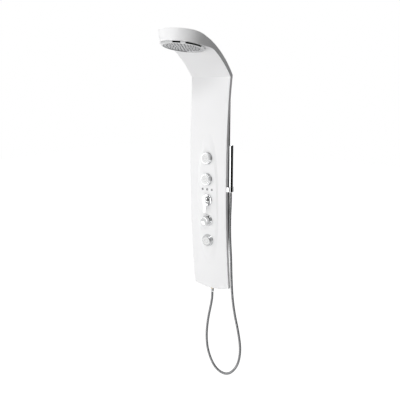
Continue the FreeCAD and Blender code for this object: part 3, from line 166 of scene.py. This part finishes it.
def mottle(material, scale, darker, gloss_spread):
    """Slight variation of colour and gloss over a surface."""
    low, high = 0.3, 0.7     # most of the noise lies between these
    tree = material.node_tree
    surface = tree.nodes["Principled BSDF"]
    colour = surface.inputs["Base Color"].default_value[:]
    roughness = surface.inputs["Roughness"].default_value
    noise = noise_on(material, scale, (1, 1, 1))
    ramp = tree.nodes.new("ShaderNodeValToRGB")
    dark, full = ramp.color_ramp.elements
    dark.position = low
    dark.color = (*[c * (1 - darker) for c in colour[:3]], 1)
    full.position = high
    full.color = colour
    tree.links.new(noise.outputs["Fac"], ramp.inputs["Fac"])
    tree.links.new(ramp.outputs["Color"], surface.inputs["Base Color"])
    gloss = tree.nodes.new("ShaderNodeMapRange")
    gloss.inputs["From Min"].default_value = low
    gloss.inputs["From Max"].default_value = high
    gloss.inputs["To Min"].default_value = max(GLOSSIEST, roughness - gloss_spread)
    gloss.inputs["To Max"].default_value = roughness + gloss_spread
    tree.links.new(noise.outputs["Fac"], gloss.inputs["Value"])
    tree.links.new(gloss.outputs["Result"], surface.inputs["Roughness"])
    return material


def moulded_white(look):
    """White moulding of the shell, with a trace of orange peel."""
    material = shader("moulded_white", look.shell_colour, roughness=0.36, specular=0.4)
    relief(material, scale=70, strength=0.05)
    return mottle(material, scale=9, darker=0.012, gloss_spread=0.05)


def tray_grey(look):
    """Grained plastic of the rear tray."""
    material = shader("tray_grey", look.tray_colour, roughness=0.6)
    relief(material, scale=900, strength=0.3)
    return mottle(material, scale=30, darker=0.08, gloss_spread=0.06)


def zinc_plate(look):
    """Plated sheet steel and screws, with the marks of rolling."""
    material = shader("zinc_plate", (0.6, 0.61, 0.62), roughness=0.36, metallic=1.0)
    relief(material, scale=60, strength=0.2, stretch=(1, 25, 25))
    return mottle(material, scale=90, darker=0.2, gloss_spread=0.08)


def brass(name):
    """Unplated brass with its casting skin."""
    material = shader(name, (0.7, 0.53, 0.26), roughness=0.38, metallic=1.0)
    relief(material, scale=700, strength=0.3)
    return mottle(material, scale=60, darker=0.15, gloss_spread=0.08)


def brass_cast(look):
    """Valve bodies, their nuts and the hose outlet."""
    return brass("brass_cast")


def spindle_brass(look):
    """Spindles of mixer and diverter."""
    return brass("spindle_brass")


def cartridge_black(look):
    """Black plastic of the cartridges."""
    material = shader("cartridge_black", (0.03, 0.03, 0.034), roughness=0.5)
    relief(material, scale=1200, strength=0.15)
    return mottle(material, scale=80, darker=0.2, gloss_spread=0.08)


def chrome_plate(look):
    """Polished plating of jets, mixer, diverter, head ring, handset and hose nuts."""
    material = shader("chrome_plate", look.chrome_colour, look.chrome_roughness, metallic=1.0)
    return mottle(material, scale=45, darker=0.03, gloss_spread=0.02)


def ground_steel(look):
    """Ground steel of the lever's pin."""
    material = shader("ground_steel", (0.55, 0.55, 0.56), roughness=0.25, metallic=1.0)
    relief(material, scale=900, strength=0.1)
    return mottle(material, scale=90, darker=0.1, gloss_spread=0.05)


def supply_tube_white(look):
    """Pipes inside the panel."""
    material = shader("supply_tube_white", (0.72, 0.72, 0.69), roughness=0.45)
    relief(material, scale=500, strength=0.1)
    return mottle(material, scale=40, darker=0.05, gloss_spread=0.06)


def fitting_grey(look):
    """Water chamber, and the jets' bodies and locknuts."""
    material = shader("fitting_grey", (0.6, 0.6, 0.58), roughness=0.5)
    relief(material, scale=800, strength=0.2)
    return mottle(material, scale=50, darker=0.05, gloss_spread=0.06)


def jet_face_white(look):
    """Plates in the faces of the jets."""
    material = shader("jet_face_white", (0.84, 0.84, 0.84), roughness=0.32)
    relief(material, scale=600, strength=0.06)
    return mottle(material, scale=60, darker=0.02, gloss_spread=0.04)


def seal_black(look):
    """Rubber seals and gaskets."""
    material = shader("seal_black", (0.015, 0.015, 0.015), roughness=0.7)
    relief(material, scale=1500, strength=0.2)
    return mottle(material, scale=90, darker=0.2, gloss_spread=0.08)


def satin_disc(look):
    """Satin metal of the three small discs."""
    material = shader("satin_disc", look.disc_colour, roughness=0.38, metallic=1.0)
    relief(material, scale=120, strength=0.25, stretch=(1, 1, 30))
    return mottle(material, scale=90, darker=0.1, gloss_spread=0.06)


def spray_plate_grey(look):
    """Plastic of the overhead spray plate."""
    material = shader("spray_plate_grey", look.spray_colour, roughness=0.3)
    relief(material, scale=900, strength=0.1)
    return mottle(material, scale=50, darker=0.06, gloss_spread=0.05)


def nozzle_rubber(look):
    """Soft nozzles, and the strip that sprays in the handset."""
    material = shader("nozzle_rubber", look.nozzle_colour, roughness=0.55)
    relief(material, scale=2000, strength=0.2)
    return mottle(material, scale=150, darker=0.2, gloss_spread=0.08)


def hose_plate(look):
    """Plated sleeve of the hose."""
    material = shader("hose_plate", look.hose_colour, roughness=0.2, metallic=1.0)
    return mottle(material, scale=70, darker=0.12, gloss_spread=0.06)


FINISH_OF = {
    "shell_white": moulded_white,
    "tray_grey": tray_grey,
    "plated_steel": zinc_plate,
    "brass_cast": brass_cast,
    "spindle_brass": spindle_brass,
    "cartridge_plastic": cartridge_black,
    "chrome": chrome_plate,
    "steel_pin": ground_steel,
    "supply_tube": supply_tube_white,
    "fitting_plastic": fitting_grey,
    "jet_white": jet_face_white,
    "seal_rubber": seal_black,
    "satin_disc": satin_disc,
    "spray_grey": spray_plate_grey,
    "nozzle_dark": nozzle_rubber,
    "hose_metal": hose_plate,
}
finished = {}


def finish(slot):
    """The material of one slot, made once."""
    if slot not in finished:
        finished[slot] = FINISH_OF[slot](bpy.context.scene.shower_finish)
    return finished[slot]


# ---- Meshes -------------------------------------------------------------------------------------
def link_in(item):
    """Puts a new object into the scene."""
    bpy.context.scene.collection.objects.link(item)
    return item


def on_panel_front(point):
    """True on the front of the panel, where the raised island lies."""
    return point.z < PANEL_TOP and point.y < PANEL_BACK and abs(point.x) < PANEL_HALF_WIDTH


def dress(node, island=False):
    """A merged, smooth-shaded copy of a solid, in its finish, which stands for it."""
    mesh = FRAME["nodes"][node].data.copy()
    mesh.name = node + "_dressed"
    work = bmesh.new()
    work.from_mesh(mesh)
    bmesh.ops.remove_doubles(work, verts=work.verts, dist=WELD)
    for face in work.faces:
        face.smooth = True
    for edge in work.edges:
        start, end = edge.verts
        shallow = island and on_panel_front((start.co + end.co) / 2)
        edge.smooth = edge.calc_face_angle(0) < (ISLAND_CREASE if shallow else CREASE)
    work.to_mesh(mesh)
    work.free()
    mesh.materials.clear()
    mesh.materials.append(finish(SLOT_OF[node]))
    piece = link_in(bpy.data.objects.new(node + "_dressed", mesh))
    return settle(piece, BODY_OF[node], SLOT_OF[node], node)


def dress_all(*nodes):
    """Dresses several solids."""
    for node in nodes:
        dress(node)


def settle(piece, body, slot, *nodes):
    """Gives a piece its body and hides the solids that it stands for; the slot is not used."""
    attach(piece, body)
    if nodes:
        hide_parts(*nodes)
    return piece


def evaluated_mesh(source):
    """The evaluated shape of an object as a plain mesh."""
    bpy.context.view_layer.update()
    graph = bpy.context.evaluated_depsgraph_get()
    return bpy.data.meshes.new_from_object(source.evaluated_get(graph), depsgraph=graph)


def shape_by(tree, identifiers, holder, name, sizes):
    """The shape that a tree gives to a holder, as a plain mesh piece that takes the holder's place."""
    modifier = holder.modifiers.new(name, "NODES")
    modifier.node_group = tree
    for label, value in sizes.items():
        modifier[identifiers[label]] = value
    mesh = evaluated_mesh(holder)
    mesh.name = name
    bpy.data.objects.remove(holder)
    return link_in(bpy.data.objects.new(name, mesh))


def float_inputs(tree, sizes):
    """Adds a named input for each size to a tree, and gives their identifiers by name."""
    identifiers = {}
    for name, value in sizes.items():
        socket = tree.interface.new_socket(name, in_out="INPUT", socket_type="NodeSocketFloat")
        socket.default_value = value
        identifiers[name] = socket.identifier
    return identifiers


def end_tree(tree, geometry, material):
    """Ends a tree: instances made real, painted and sent to the output."""
    real = tree.nodes.new("GeometryNodeRealizeInstances")
    tree.links.new(geometry, real.inputs["Geometry"])
    paint = tree.nodes.new("GeometryNodeSetMaterial")
    paint.inputs["Material"].default_value = material
    tree.links.new(real.outputs["Geometry"], paint.inputs["Geometry"])
    result = tree.nodes.new("NodeGroupOutput")
    tree.links.new(paint.outputs["Geometry"], result.inputs["Geometry"])


# ---- Hose ---------------------------------------------------------------------------------------
def hose_line():
    """The hose's middle line as a smooth curve."""
    line = bpy.data.curves.new("hose_line", "CURVE")
    line.dimensions = "3D"
    line.resolution_u = 24
    spline = line.splines.new("NURBS")
    spline.points.add(len(HOSE_LINE) - 1)
    for point, place in zip(spline.points, HOSE_LINE):
        point.co = (*place, 1.0)
    spline.order_u = 3
    spline.use_endpoint_u = True
    return link_in(bpy.data.objects.new("hose_line", line))


def rib_tree(sizes, material):
    """Sweeps a tube along a curve and sinks a groove into it that winds round as it goes along."""
    tree = bpy.data.node_groups.new("ribbed_hose", "GeometryNodeTree")
    tree.interface.new_socket("Geometry", in_out="INPUT", socket_type="NodeSocketGeometry")
    identifiers = float_inputs(tree, sizes)
    tree.interface.new_socket("Geometry", in_out="OUTPUT", socket_type="NodeSocketGeometry")
    new = tree.nodes.new
    link = tree.links.new
    given = new("NodeGroupInput")

    def maths(operation, first, second):
        node = new("ShaderNodeMath")
        node.operation = operation
        for slot, value in zip(node.inputs, (first, second)):
            if isinstance(value, float):
                slot.default_value = value
            else:
                link(value, slot)
        return node.outputs[0]

    def store(geometry, name, kind, value):
        node = new("GeometryNodeStoreNamedAttribute")
        node.data_type = kind
        node.domain = "POINT"
        node.inputs["Name"].default_value = name
        link(geometry, node.inputs["Geometry"])
        link(value, node.inputs["Value"])
        return node.outputs["Geometry"]

    def read(name, kind):
        node = new("GeometryNodeInputNamedAttribute")
        node.data_type = kind
        node.inputs["Name"].default_value = name
        return node.outputs["Attribute"]

    # Each point of the line keeps its distance along the hose and its place, each point of the round
    # profile its share of a turn.
    sample = new("GeometryNodeResampleCurve")
    sample.mode = "LENGTH"
    link(given.outputs["Geometry"], sample.inputs["Curve"])
    link(given.outputs["Step"], sample.inputs["Length"])
    along = new("GeometryNodeSplineParameter")
    line = store(sample.outputs["Curve"], "along", "FLOAT", along.outputs["Length"])
    line = store(line, "middle", "FLOAT_VECTOR", new("GeometryNodeInputPosition").outputs[0])
    ring = new("GeometryNodeCurvePrimitiveCircle")
    ring.inputs["Resolution"].default_value = HOSE_SIDES
    link(given.outputs["Radius"], ring.inputs["Radius"])
    round_line = store(ring.outputs["Curve"], "turn", "FLOAT", along.outputs["Factor"])
    sweep = new("GeometryNodeCurveToMesh")
    link(line, sweep.inputs["Curve"])
    link(round_line, sweep.inputs["Profile Curve"])
    sweep.inputs["Fill Caps"].default_value = True

    # The groove is deepest where along / pitch + turn is a whole number.
    pitches = maths("DIVIDE", read("along", "FLOAT"), given.outputs["Pitch"])
    turns = maths("ADD", pitches, read("turn", "FLOAT"))
    wave = maths("COSINE", maths("MULTIPLY", turns, 2 * pi), 0.0)
    depth = maths("MULTIPLY", maths("MULTIPLY", maths("ADD", wave, 1.0), 0.5), given.outputs["Groove"])
    shrink = maths("SUBTRACT", 0.0, maths("DIVIDE", depth, given.outputs["Radius"]))
    reach = new("ShaderNodeVectorMath")
    reach.operation = "SUBTRACT"
    link(new("GeometryNodeInputPosition").outputs[0], reach.inputs[0])
    link(read("middle", "FLOAT_VECTOR"), reach.inputs[1])
    move = new("ShaderNodeVectorMath")
    move.operation = "SCALE"
    link(reach.outputs[0], move.inputs[0])
    link(shrink, move.inputs["Scale"])
    grooved = new("GeometryNodeSetPosition")
    link(sweep.outputs["Mesh"], grooved.inputs["Geometry"])
    link(move.outputs[0], grooved.inputs["Offset"])
    end_tree(tree, grooved.outputs["Geometry"], material)
    return tree, identifiers


def point_path(line):
    """The points of a curve in order, and its length."""
    mesh = evaluated_mesh(line)
    path = [v.co.copy() for v in mesh.vertices]
    bpy.data.meshes.remove(mesh)
    length = sum((b - a).length for a, b in zip(path, path[1:]))
    return path, length


# ---- Nozzles ------------------------------------------------------------------------------------
def nozzle_tree(name, counts, radii, sizes, material):
    """Rubber nozzles on concentric rings and one in the middle: a cone on each point."""
    tree = bpy.data.node_groups.new(name, "GeometryNodeTree")
    identifiers = float_inputs(tree, sizes)
    tree.interface.new_socket("Geometry", in_out="OUTPUT", socket_type="NodeSocketGeometry")
    new = tree.nodes.new
    link = tree.links.new
    given = new("NodeGroupInput")
    gather = new("GeometryNodeJoinGeometry")
    middle = new("GeometryNodeMeshLine")
    middle.inputs["Count"].default_value = 1
    link(middle.outputs["Mesh"], gather.inputs["Geometry"])
    for count, radius in zip(counts, radii):
        ring = new("GeometryNodeMeshCircle")
        ring.inputs["Vertices"].default_value = count
        ring.inputs["Radius"].default_value = radius
        link(ring.outputs["Mesh"], gather.inputs["Geometry"])
    cone = new("GeometryNodeMeshCone")
    cone.inputs["Vertices"].default_value = NOZZLE_SIDES
    link(given.outputs["Base Radius"], cone.inputs["Radius Bottom"])
    link(given.outputs["Tip Radius"], cone.inputs["Radius Top"])
    link(given.outputs["Height"], cone.inputs["Depth"])
    place = new("GeometryNodeInstanceOnPoints")
    link(gather.outputs["Geometry"], place.inputs["Points"])
    link(cone.outputs["Mesh"], place.inputs["Instance"])
    end_tree(tree, place.outputs["Instances"], material)
    return tree, identifiers


def nozzle_field(name, counts, radii, sizes, frame, body):
    """Nozzles in a frame of their own, brought to their place as one plain mesh."""
    tree, identifiers = nozzle_tree(name + "_tree", counts, radii, sizes, finish("nozzle_dark"))
    holder = link_in(bpy.data.objects.new(name + "_holder", bpy.data.meshes.new(name + "_holder")))
    piece = shape_by(tree, identifiers, holder, name, sizes)
    piece.data.transform(frame)
    piece.data.shade_smooth()
    piece.data.set_sharp_from_angle(angle=NOZZLE_CREASE)
    return settle(piece, body, "nozzle_dark")


def on_axis(origin, outward, lift):
    """Frame with +Z along the outward direction, +X kept to the right, lifted along its +Z."""
    z = Vector(outward).normalized()
    x = Vector((1, 0, 0))
    y = z.cross(x).normalized()
    turn = Matrix((x, y, z)).transposed().to_4x4()
    return Matrix.Translation(Vector(origin) + z * lift) @ turn


# ---- Properties ---------------------------------------------------------------------------------
def colour_property(name, description, default):
    """A colour that can be changed in the sidebar."""
    return bpy.props.FloatVectorProperty(name=name, description=description, subtype="COLOR", size=3,
                                         default=default, min=0, max=1)


class ShowerFinish(bpy.types.PropertyGroup):
    """Colours of the finishes"""
    shell_colour: colour_property("Shell", "Colour of the moulded shell", (0.86, 0.86, 0.865))
    tray_colour: colour_property("Tray", "Colour of the rear tray", (0.12, 0.12, 0.125))
    chrome_colour: colour_property("Chrome", "Colour of the plated metal", (0.6, 0.605, 0.61))
    chrome_roughness: bpy.props.FloatProperty(
        name="Chrome Roughness", description="How blurred the plating reflects", default=0.06, min=0, max=1,
        subtype="FACTOR")
    disc_colour: colour_property("Discs", "Colour of the three small discs", (0.22, 0.225, 0.23))
    spray_colour: colour_property("Spray Plate", "Colour of the overhead spray plate", (0.46, 0.465, 0.475))
    nozzle_colour: colour_property("Nozzles", "Colour of the soft nozzles", (0.06, 0.06, 0.065))
    hose_colour: colour_property("Hose", "Colour of the metal hose", (0.2, 0.203, 0.207))


class ShowerHose(bpy.types.PropertyGroup):
    """Sizes of the hose"""
    diameter: bpy.props.FloatProperty(
        name="Diameter", description="Outer diameter of the hose", default=0.014, min=0.008, max=0.02,
        unit="LENGTH", precision=4)
    pitch: bpy.props.FloatProperty(
        name="Pitch", description="Distance from rib to rib", default=0.0042, min=0.001, max=0.01,
        unit="LENGTH", precision=4)
    groove: bpy.props.FloatProperty(
        name="Groove", description="Depth between the ribs", default=0.0009, min=0.0, max=0.003,
        unit="LENGTH", precision=4)


class ShowerStage(bpy.types.PropertyGroup):
    """Strengths of the lamps, and the floor"""
    front_power: bpy.props.FloatProperty(
        name="Front Lamp", description="Power of the large lamp in front", default=43.0, min=0, unit="POWER")
    left_power: bpy.props.FloatProperty(
        name="Left Lamp", description="Power of the large lamp at the left", default=17.0, min=0,
        unit="POWER")
    high_power: bpy.props.FloatProperty(
        name="High Lamp", description="Power of the lamp high in front", default=44.0, min=0, unit="POWER")
    low_power: bpy.props.FloatProperty(
        name="Low Lamp", description="Power of the lamp low at the right", default=20.0, min=0, unit="POWER")
    room_light: bpy.props.FloatProperty(
        name="Room", description="Strength of the even light from all round", default=0.47, min=0)
    floor_height: bpy.props.FloatProperty(
        name="Floor", description="Height of the floor under the wall bracket", default=-2.0, unit="LENGTH")


# ---- Operators ----------------------------------------------------------------------------------
class SHOWER_OT_shell(bpy.types.Operator):
    """Moulded shell, arm cover and rear tray"""
    bl_idname = "shower.shell"
    bl_label = "Shell"

    def execute(self, context):
        dress("front_shell", island=True)
        dress_all("arm_cover", "rear_tray")
        return {"FINISHED"}


class SHOWER_OT_wall(bpy.types.Operator):
    """Wall brackets, hangers and their screws"""
    bl_idname = "shower.wall"
    bl_label = "Wall Fixings"

    def execute(self, context):
        dress_all("upper_wall_bracket", "lower_wall_bracket", "upper_hanger", "lower_hanger",
                  "hanger_screws")
        return {"FINISHED"}


class SHOWER_OT_waterways(bpy.types.Operator):
    """Supply pipes inside the panel and the hose outlet"""
    bl_idname = "shower.waterways"
    bl_label = "Waterways"

    def execute(self, context):
        dress_all("link_pipe", "jet_pipe", "hose_pipe", "head_riser", "hose_outlet")
        return {"FINISHED"}


class SHOWER_OT_jets(bpy.types.Operator):
    """Three swivelling body jets"""
    bl_idname = "shower.jets"
    bl_label = "Body Jets"

    def execute(self, context):
        for jet, (origin, outward) in JET_PLACES.items():
            dress_all(*[jet + part for part in ("_body", "_ring", "_collar", "_head", "_face")])
            plate = on_axis(origin, outward, JET_PLATE_FRONT)
            nozzle_field(jet + "_nozzles", JET_NOZZLE_COUNTS, JET_NOZZLE_RADII, JET_NOZZLE, plate,
                         jet + "_ball")
        dress_all("jet_gaskets", "jet_locknuts")
        return {"FINISHED"}


class SHOWER_OT_mixer(bpy.types.Operator):
    """Lever mixer with its dome, blade lever and cartridge"""
    bl_idname = "shower.mixer"
    bl_label = "Mixer"

    def execute(self, context):
        dress_all("mixer_body", "mixer_cartridge", "cartridge_nut", "mixer_flange", "mixer_locknut",
                  "mixer_spindle", "mixer_dome", "lever_pin", "mixer_lever")
        return {"FINISHED"}


class SHOWER_OT_diverter(bpy.types.Operator):
    """Diverter knob, flange and cartridge"""
    bl_idname = "shower.diverter"
    bl_label = "Diverter"

    def execute(self, context):
        dress_all("diverter_body", "diverter_cartridge", "diverter_flange", "diverter_locknut",
                  "diverter_spindle", "diverter_knob")
        return {"FINISHED"}


class SHOWER_OT_discs(bpy.types.Operator):
    """Three small discs between the second jet and the mixer"""
    bl_idname = "shower.discs"
    bl_label = "Discs"

    def execute(self, context):
        dress("indicator_discs")
        return {"FINISHED"}


class SHOWER_OT_overhead(bpy.types.Operator):
    """Overhead shower: ring, spray plate, nozzles, seal, chamber and screws"""
    bl_idname = "shower.overhead"
    bl_label = "Overhead Shower"

    def execute(self, context):
        dress_all("head_ring", "spray_plate", "head_seal", "head_chamber", "head_screws")
        plate = on_axis(HEAD_CENTRE, SPRAY_WAY, SPRAY_PLATE_FRONT)
        nozzle_field("spray_nozzles", SPRAY_COUNTS, SPRAY_RADII, SPRAY_NOZZLE, plate, "panel")
        return {"FINISHED"}


class SHOWER_OT_handset(bpy.types.Operator):
    """Stick handset, its holder and the hose's cone nut"""
    bl_idname = "shower.handset"
    bl_label = "Handset"

    def execute(self, context):
        dress_all("handset_holder", "holder_screws", "hose_cone_nut", "handset_tube", "handset_spray",
                  "handset_cap")
        return {"FINISHED"}


class SHOWER_OT_hose(bpy.types.Operator):
    """Ribbed metal hose and its nut under the panel"""
    bl_idname = "shower.hose"
    bl_label = "Hose"

    def execute(self, context):
        look = context.scene.shower_hose
        nut = dress("hose_outlet_nut")
        line = hose_line()
        path, length = point_path(line)
        sizes = {"Radius": look.diameter / 2, "Pitch": look.pitch, "Groove": look.groove,
                 "Step": look.pitch / STEPS_PER_RIB}
        tree, identifiers = rib_tree(sizes, finish("hose_metal"))
        piece = shape_by(tree, identifiers, line, "hose_ribbed", sizes)
        piece.data.shade_smooth()
        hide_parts("hose")
        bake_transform(piece)
        return {"FINISHED"}


class SHOWER_OT_stage(bpy.types.Operator):
    """Pale floor, soft lamps and the camera"""
    bl_idname = "shower.stage"
    bl_label = "Stage"

    def execute(self, context):
        look = context.scene.shower_stage
        floor(look.floor_height)
        room(look.room_light)
        lamp("front_lamp", place=(-0.8, -3.45, -0.5), target=(0, 0, -0.5), width=3.2, height=2.4,
             power=look.front_power)
        lamp("high_lamp", place=(1.1, -3.1, 2.4), target=(0, -0.2, 0), width=2.2, height=0.8,
             power=look.high_power)
        lamp("left_lamp", place=(-3.1, -1.6, -0.1), target=(0, 0, -0.35), width=2.2, height=2.2,
             power=look.left_power)
        lamp("low_lamp", place=(0.8, -2.0, -1.9), target=(0, -0.2, 0.2), width=1.0, height=1.0,
             power=look.low_power)
        card("right_card", place=(2.25, -1.05, 0.2), facing=(-0.97, -0.25, 0), width=2.8, height=3.2)
        card("rear_card", place=(1.55, 0.82, 0.2), facing=(-0.8, -0.6, 0), width=1.4, height=3.2)
        card("back_card", place=(2.0, -3.35, -0.5), facing=(-0.5, 0.87, 0), width=2.4, height=2.6)
        card("top_card", place=(0.9, -0.2, 2.1), facing=(-0.25, 0, -0.97), width=3.2, height=2.4)
        card("brow_card", place=(0.1, -3.6, 1.6), facing=(0, 0.93, -0.37), width=2.8, height=1.3)
        camera()
        return {"FINISHED"}


# ---- Stage --------------------------------------------------------------------------------------
def stage_plate(name, corners, material):
    """A flat four-cornered piece of the stage."""
    mesh = bpy.data.meshes.new(name)
    mesh.from_pydata(corners, [], [(0, 1, 2, 3)])
    mesh.materials.append(material)
    plate = link_in(bpy.data.objects.new(name, mesh))
    return plate


def larger(tree, first, second):
    """The larger of two values in a tree."""
    node = tree.nodes.new("ShaderNodeMath")
    node.operation = "MAXIMUM"
    tree.links.new(first, node.inputs[0])
    tree.links.new(second, node.inputs[1])
    return node.outputs[0]


def mixed(tree, share, plain, seen, output):
    """Sends a mix of two shaders to the output: the second one's share is given."""
    mix = tree.nodes.new("ShaderNodeMixShader")
    tree.links.new(share, mix.inputs[0])
    tree.links.new(plain.outputs[0], mix.inputs[1])
    tree.links.new(seen.outputs[0], mix.inputs[2])
    tree.links.new(mix.outputs[0], tree.nodes[output].inputs["Surface"])


def floor(height):
    """A floor that is white to the camera and in reflections, but for its shadows."""
    material = shader("pale_floor", (0.8, 0.8, 0.8), roughness=0.9)
    tree = material.node_tree
    glow = tree.nodes.new("ShaderNodeEmission")
    glow.inputs["Color"].default_value = WHITE
    glow.inputs["Strength"].default_value = FLOOR_GLOW
    rays = tree.nodes.new("ShaderNodeLightPath").outputs
    share = tree.nodes.new("ShaderNodeMath")
    share.operation = "MULTIPLY"
    share.inputs[1].default_value = FLOOR_GLOW_SHARE
    tree.links.new(larger(tree, rays["Is Camera Ray"], rays["Is Glossy Ray"]), share.inputs[0])
    mixed(tree, share.outputs[0], tree.nodes["Principled BSDF"], glow, "Material Output")
    corners = [(x * FLOOR_HALF, y * FLOOR_HALF, height) for x, y in ((-1, -1), (1, -1), (1, 1), (-1, 1))]
    stage_plate("floor", corners, material)


def room(strength):
    """White to the camera and in reflections, and an even light elsewhere."""
    world = bpy.data.worlds.new("pale_room")
    bpy.context.scene.world = world
    world.use_nodes = True
    tree = world.node_tree
    even = tree.nodes["Background"]
    even.inputs["Color"].default_value = WHITE
    even.inputs["Strength"].default_value = strength
    white = tree.nodes.new("ShaderNodeBackground")
    white.inputs["Color"].default_value = WHITE
    white.inputs["Strength"].default_value = 1.0
    rays = tree.nodes.new("ShaderNodeLightPath").outputs
    mirrored = larger(tree, rays["Is Glossy Ray"], rays["Is Transmission Ray"])
    mixed(tree, larger(tree, rays["Is Camera Ray"], mirrored), even, white, "World Output")


def lamp(name, place, target, width, height, power):
    """An area lamp that points at the target."""
    data = bpy.data.lights.new(name, "AREA")
    data.shape = "RECTANGLE"
    data.size = width
    data.size_y = height
    data.energy = power
    item = link_in(bpy.data.objects.new(name, data))
    item.location = place
    item.rotation_euler = (Vector(target) - Vector(place)).to_track_quat("-Z", "Y").to_euler()


def card(name, place, facing, width, height):
    """A dark card beside the object, which the plated parts reflect; the camera doesn't see it."""
    z = Vector(facing).normalized()
    level = Vector((0, 1, 0) if abs(z.z) > UP_OR_DOWN else (0, 0, 1))
    x = level.cross(z).normalized() * width / 2
    y = z.cross(x).normalized() * height / 2
    corners = [Vector(place) + x * a + y * b for a, b in ((-1, -1), (1, -1), (1, 1), (-1, 1))]
    plate = stage_plate(name, corners, shader("card_black", CARD_BLACK, roughness=0.9, specular=0.0))
    plate.visible_camera = False


def camera():
    """The camera of the photo."""
    data = bpy.data.cameras.new("photo_camera")
    data.lens = CAMERA_LENS
    data.sensor_width = 36.0
    data.clip_end = 60.0
    item = link_in(bpy.data.objects.new("photo_camera", data))
    item.location = CAMERA_PLACE
    item.rotation_euler = CAMERA_TURN
    bpy.context.scene.camera = item
    bpy.context.scene.view_settings.view_transform = "Standard"


# ---- Add-on -------------------------------------------------------------------------------------
OPERATORS = (SHOWER_OT_shell, SHOWER_OT_wall, SHOWER_OT_waterways, SHOWER_OT_jets, SHOWER_OT_mixer,
             SHOWER_OT_diverter, SHOWER_OT_discs, SHOWER_OT_overhead, SHOWER_OT_handset, SHOWER_OT_hose,
             SHOWER_OT_stage)


class SHOWER_PT_panel(bpy.types.Panel):
    """Lists the pieces and their sizes and colours"""
    bl_idname = "SHOWER_PT_panel"
    bl_label = "Shower Panel"
    bl_space_type = "VIEW_3D"
    bl_region_type = "UI"
    bl_category = "Shower"

    def draw(self, context):
        scene = context.scene
        for group in (scene.shower_finish, scene.shower_hose, scene.shower_stage):
            for name in group.__annotations__:
                self.layout.prop(group, name)
        for operator in OPERATORS:
            self.layout.operator(operator.bl_idname)


CLASSES = (ShowerFinish, ShowerHose, ShowerStage, *OPERATORS, SHOWER_PT_panel)


def register():
    for item in CLASSES:
        bpy.utils.register_class(item)
    bpy.types.Scene.shower_finish = bpy.props.PointerProperty(type=ShowerFinish)
    bpy.types.Scene.shower_hose = bpy.props.PointerProperty(type=ShowerHose)
    bpy.types.Scene.shower_stage = bpy.props.PointerProperty(type=ShowerStage)


def unregister():
    del bpy.types.Scene.shower_stage
    del bpy.types.Scene.shower_hose
    del bpy.types.Scene.shower_finish
    for item in reversed(CLASSES):
        bpy.utils.unregister_class(item)


def main():
    """Builds the whole scene."""
    register()
    for operator in OPERATORS:
        group, name = operator.bl_idname.split(".")
        getattr(getattr(bpy.ops, group), name)()


if __name__ == "__main__":
    main()
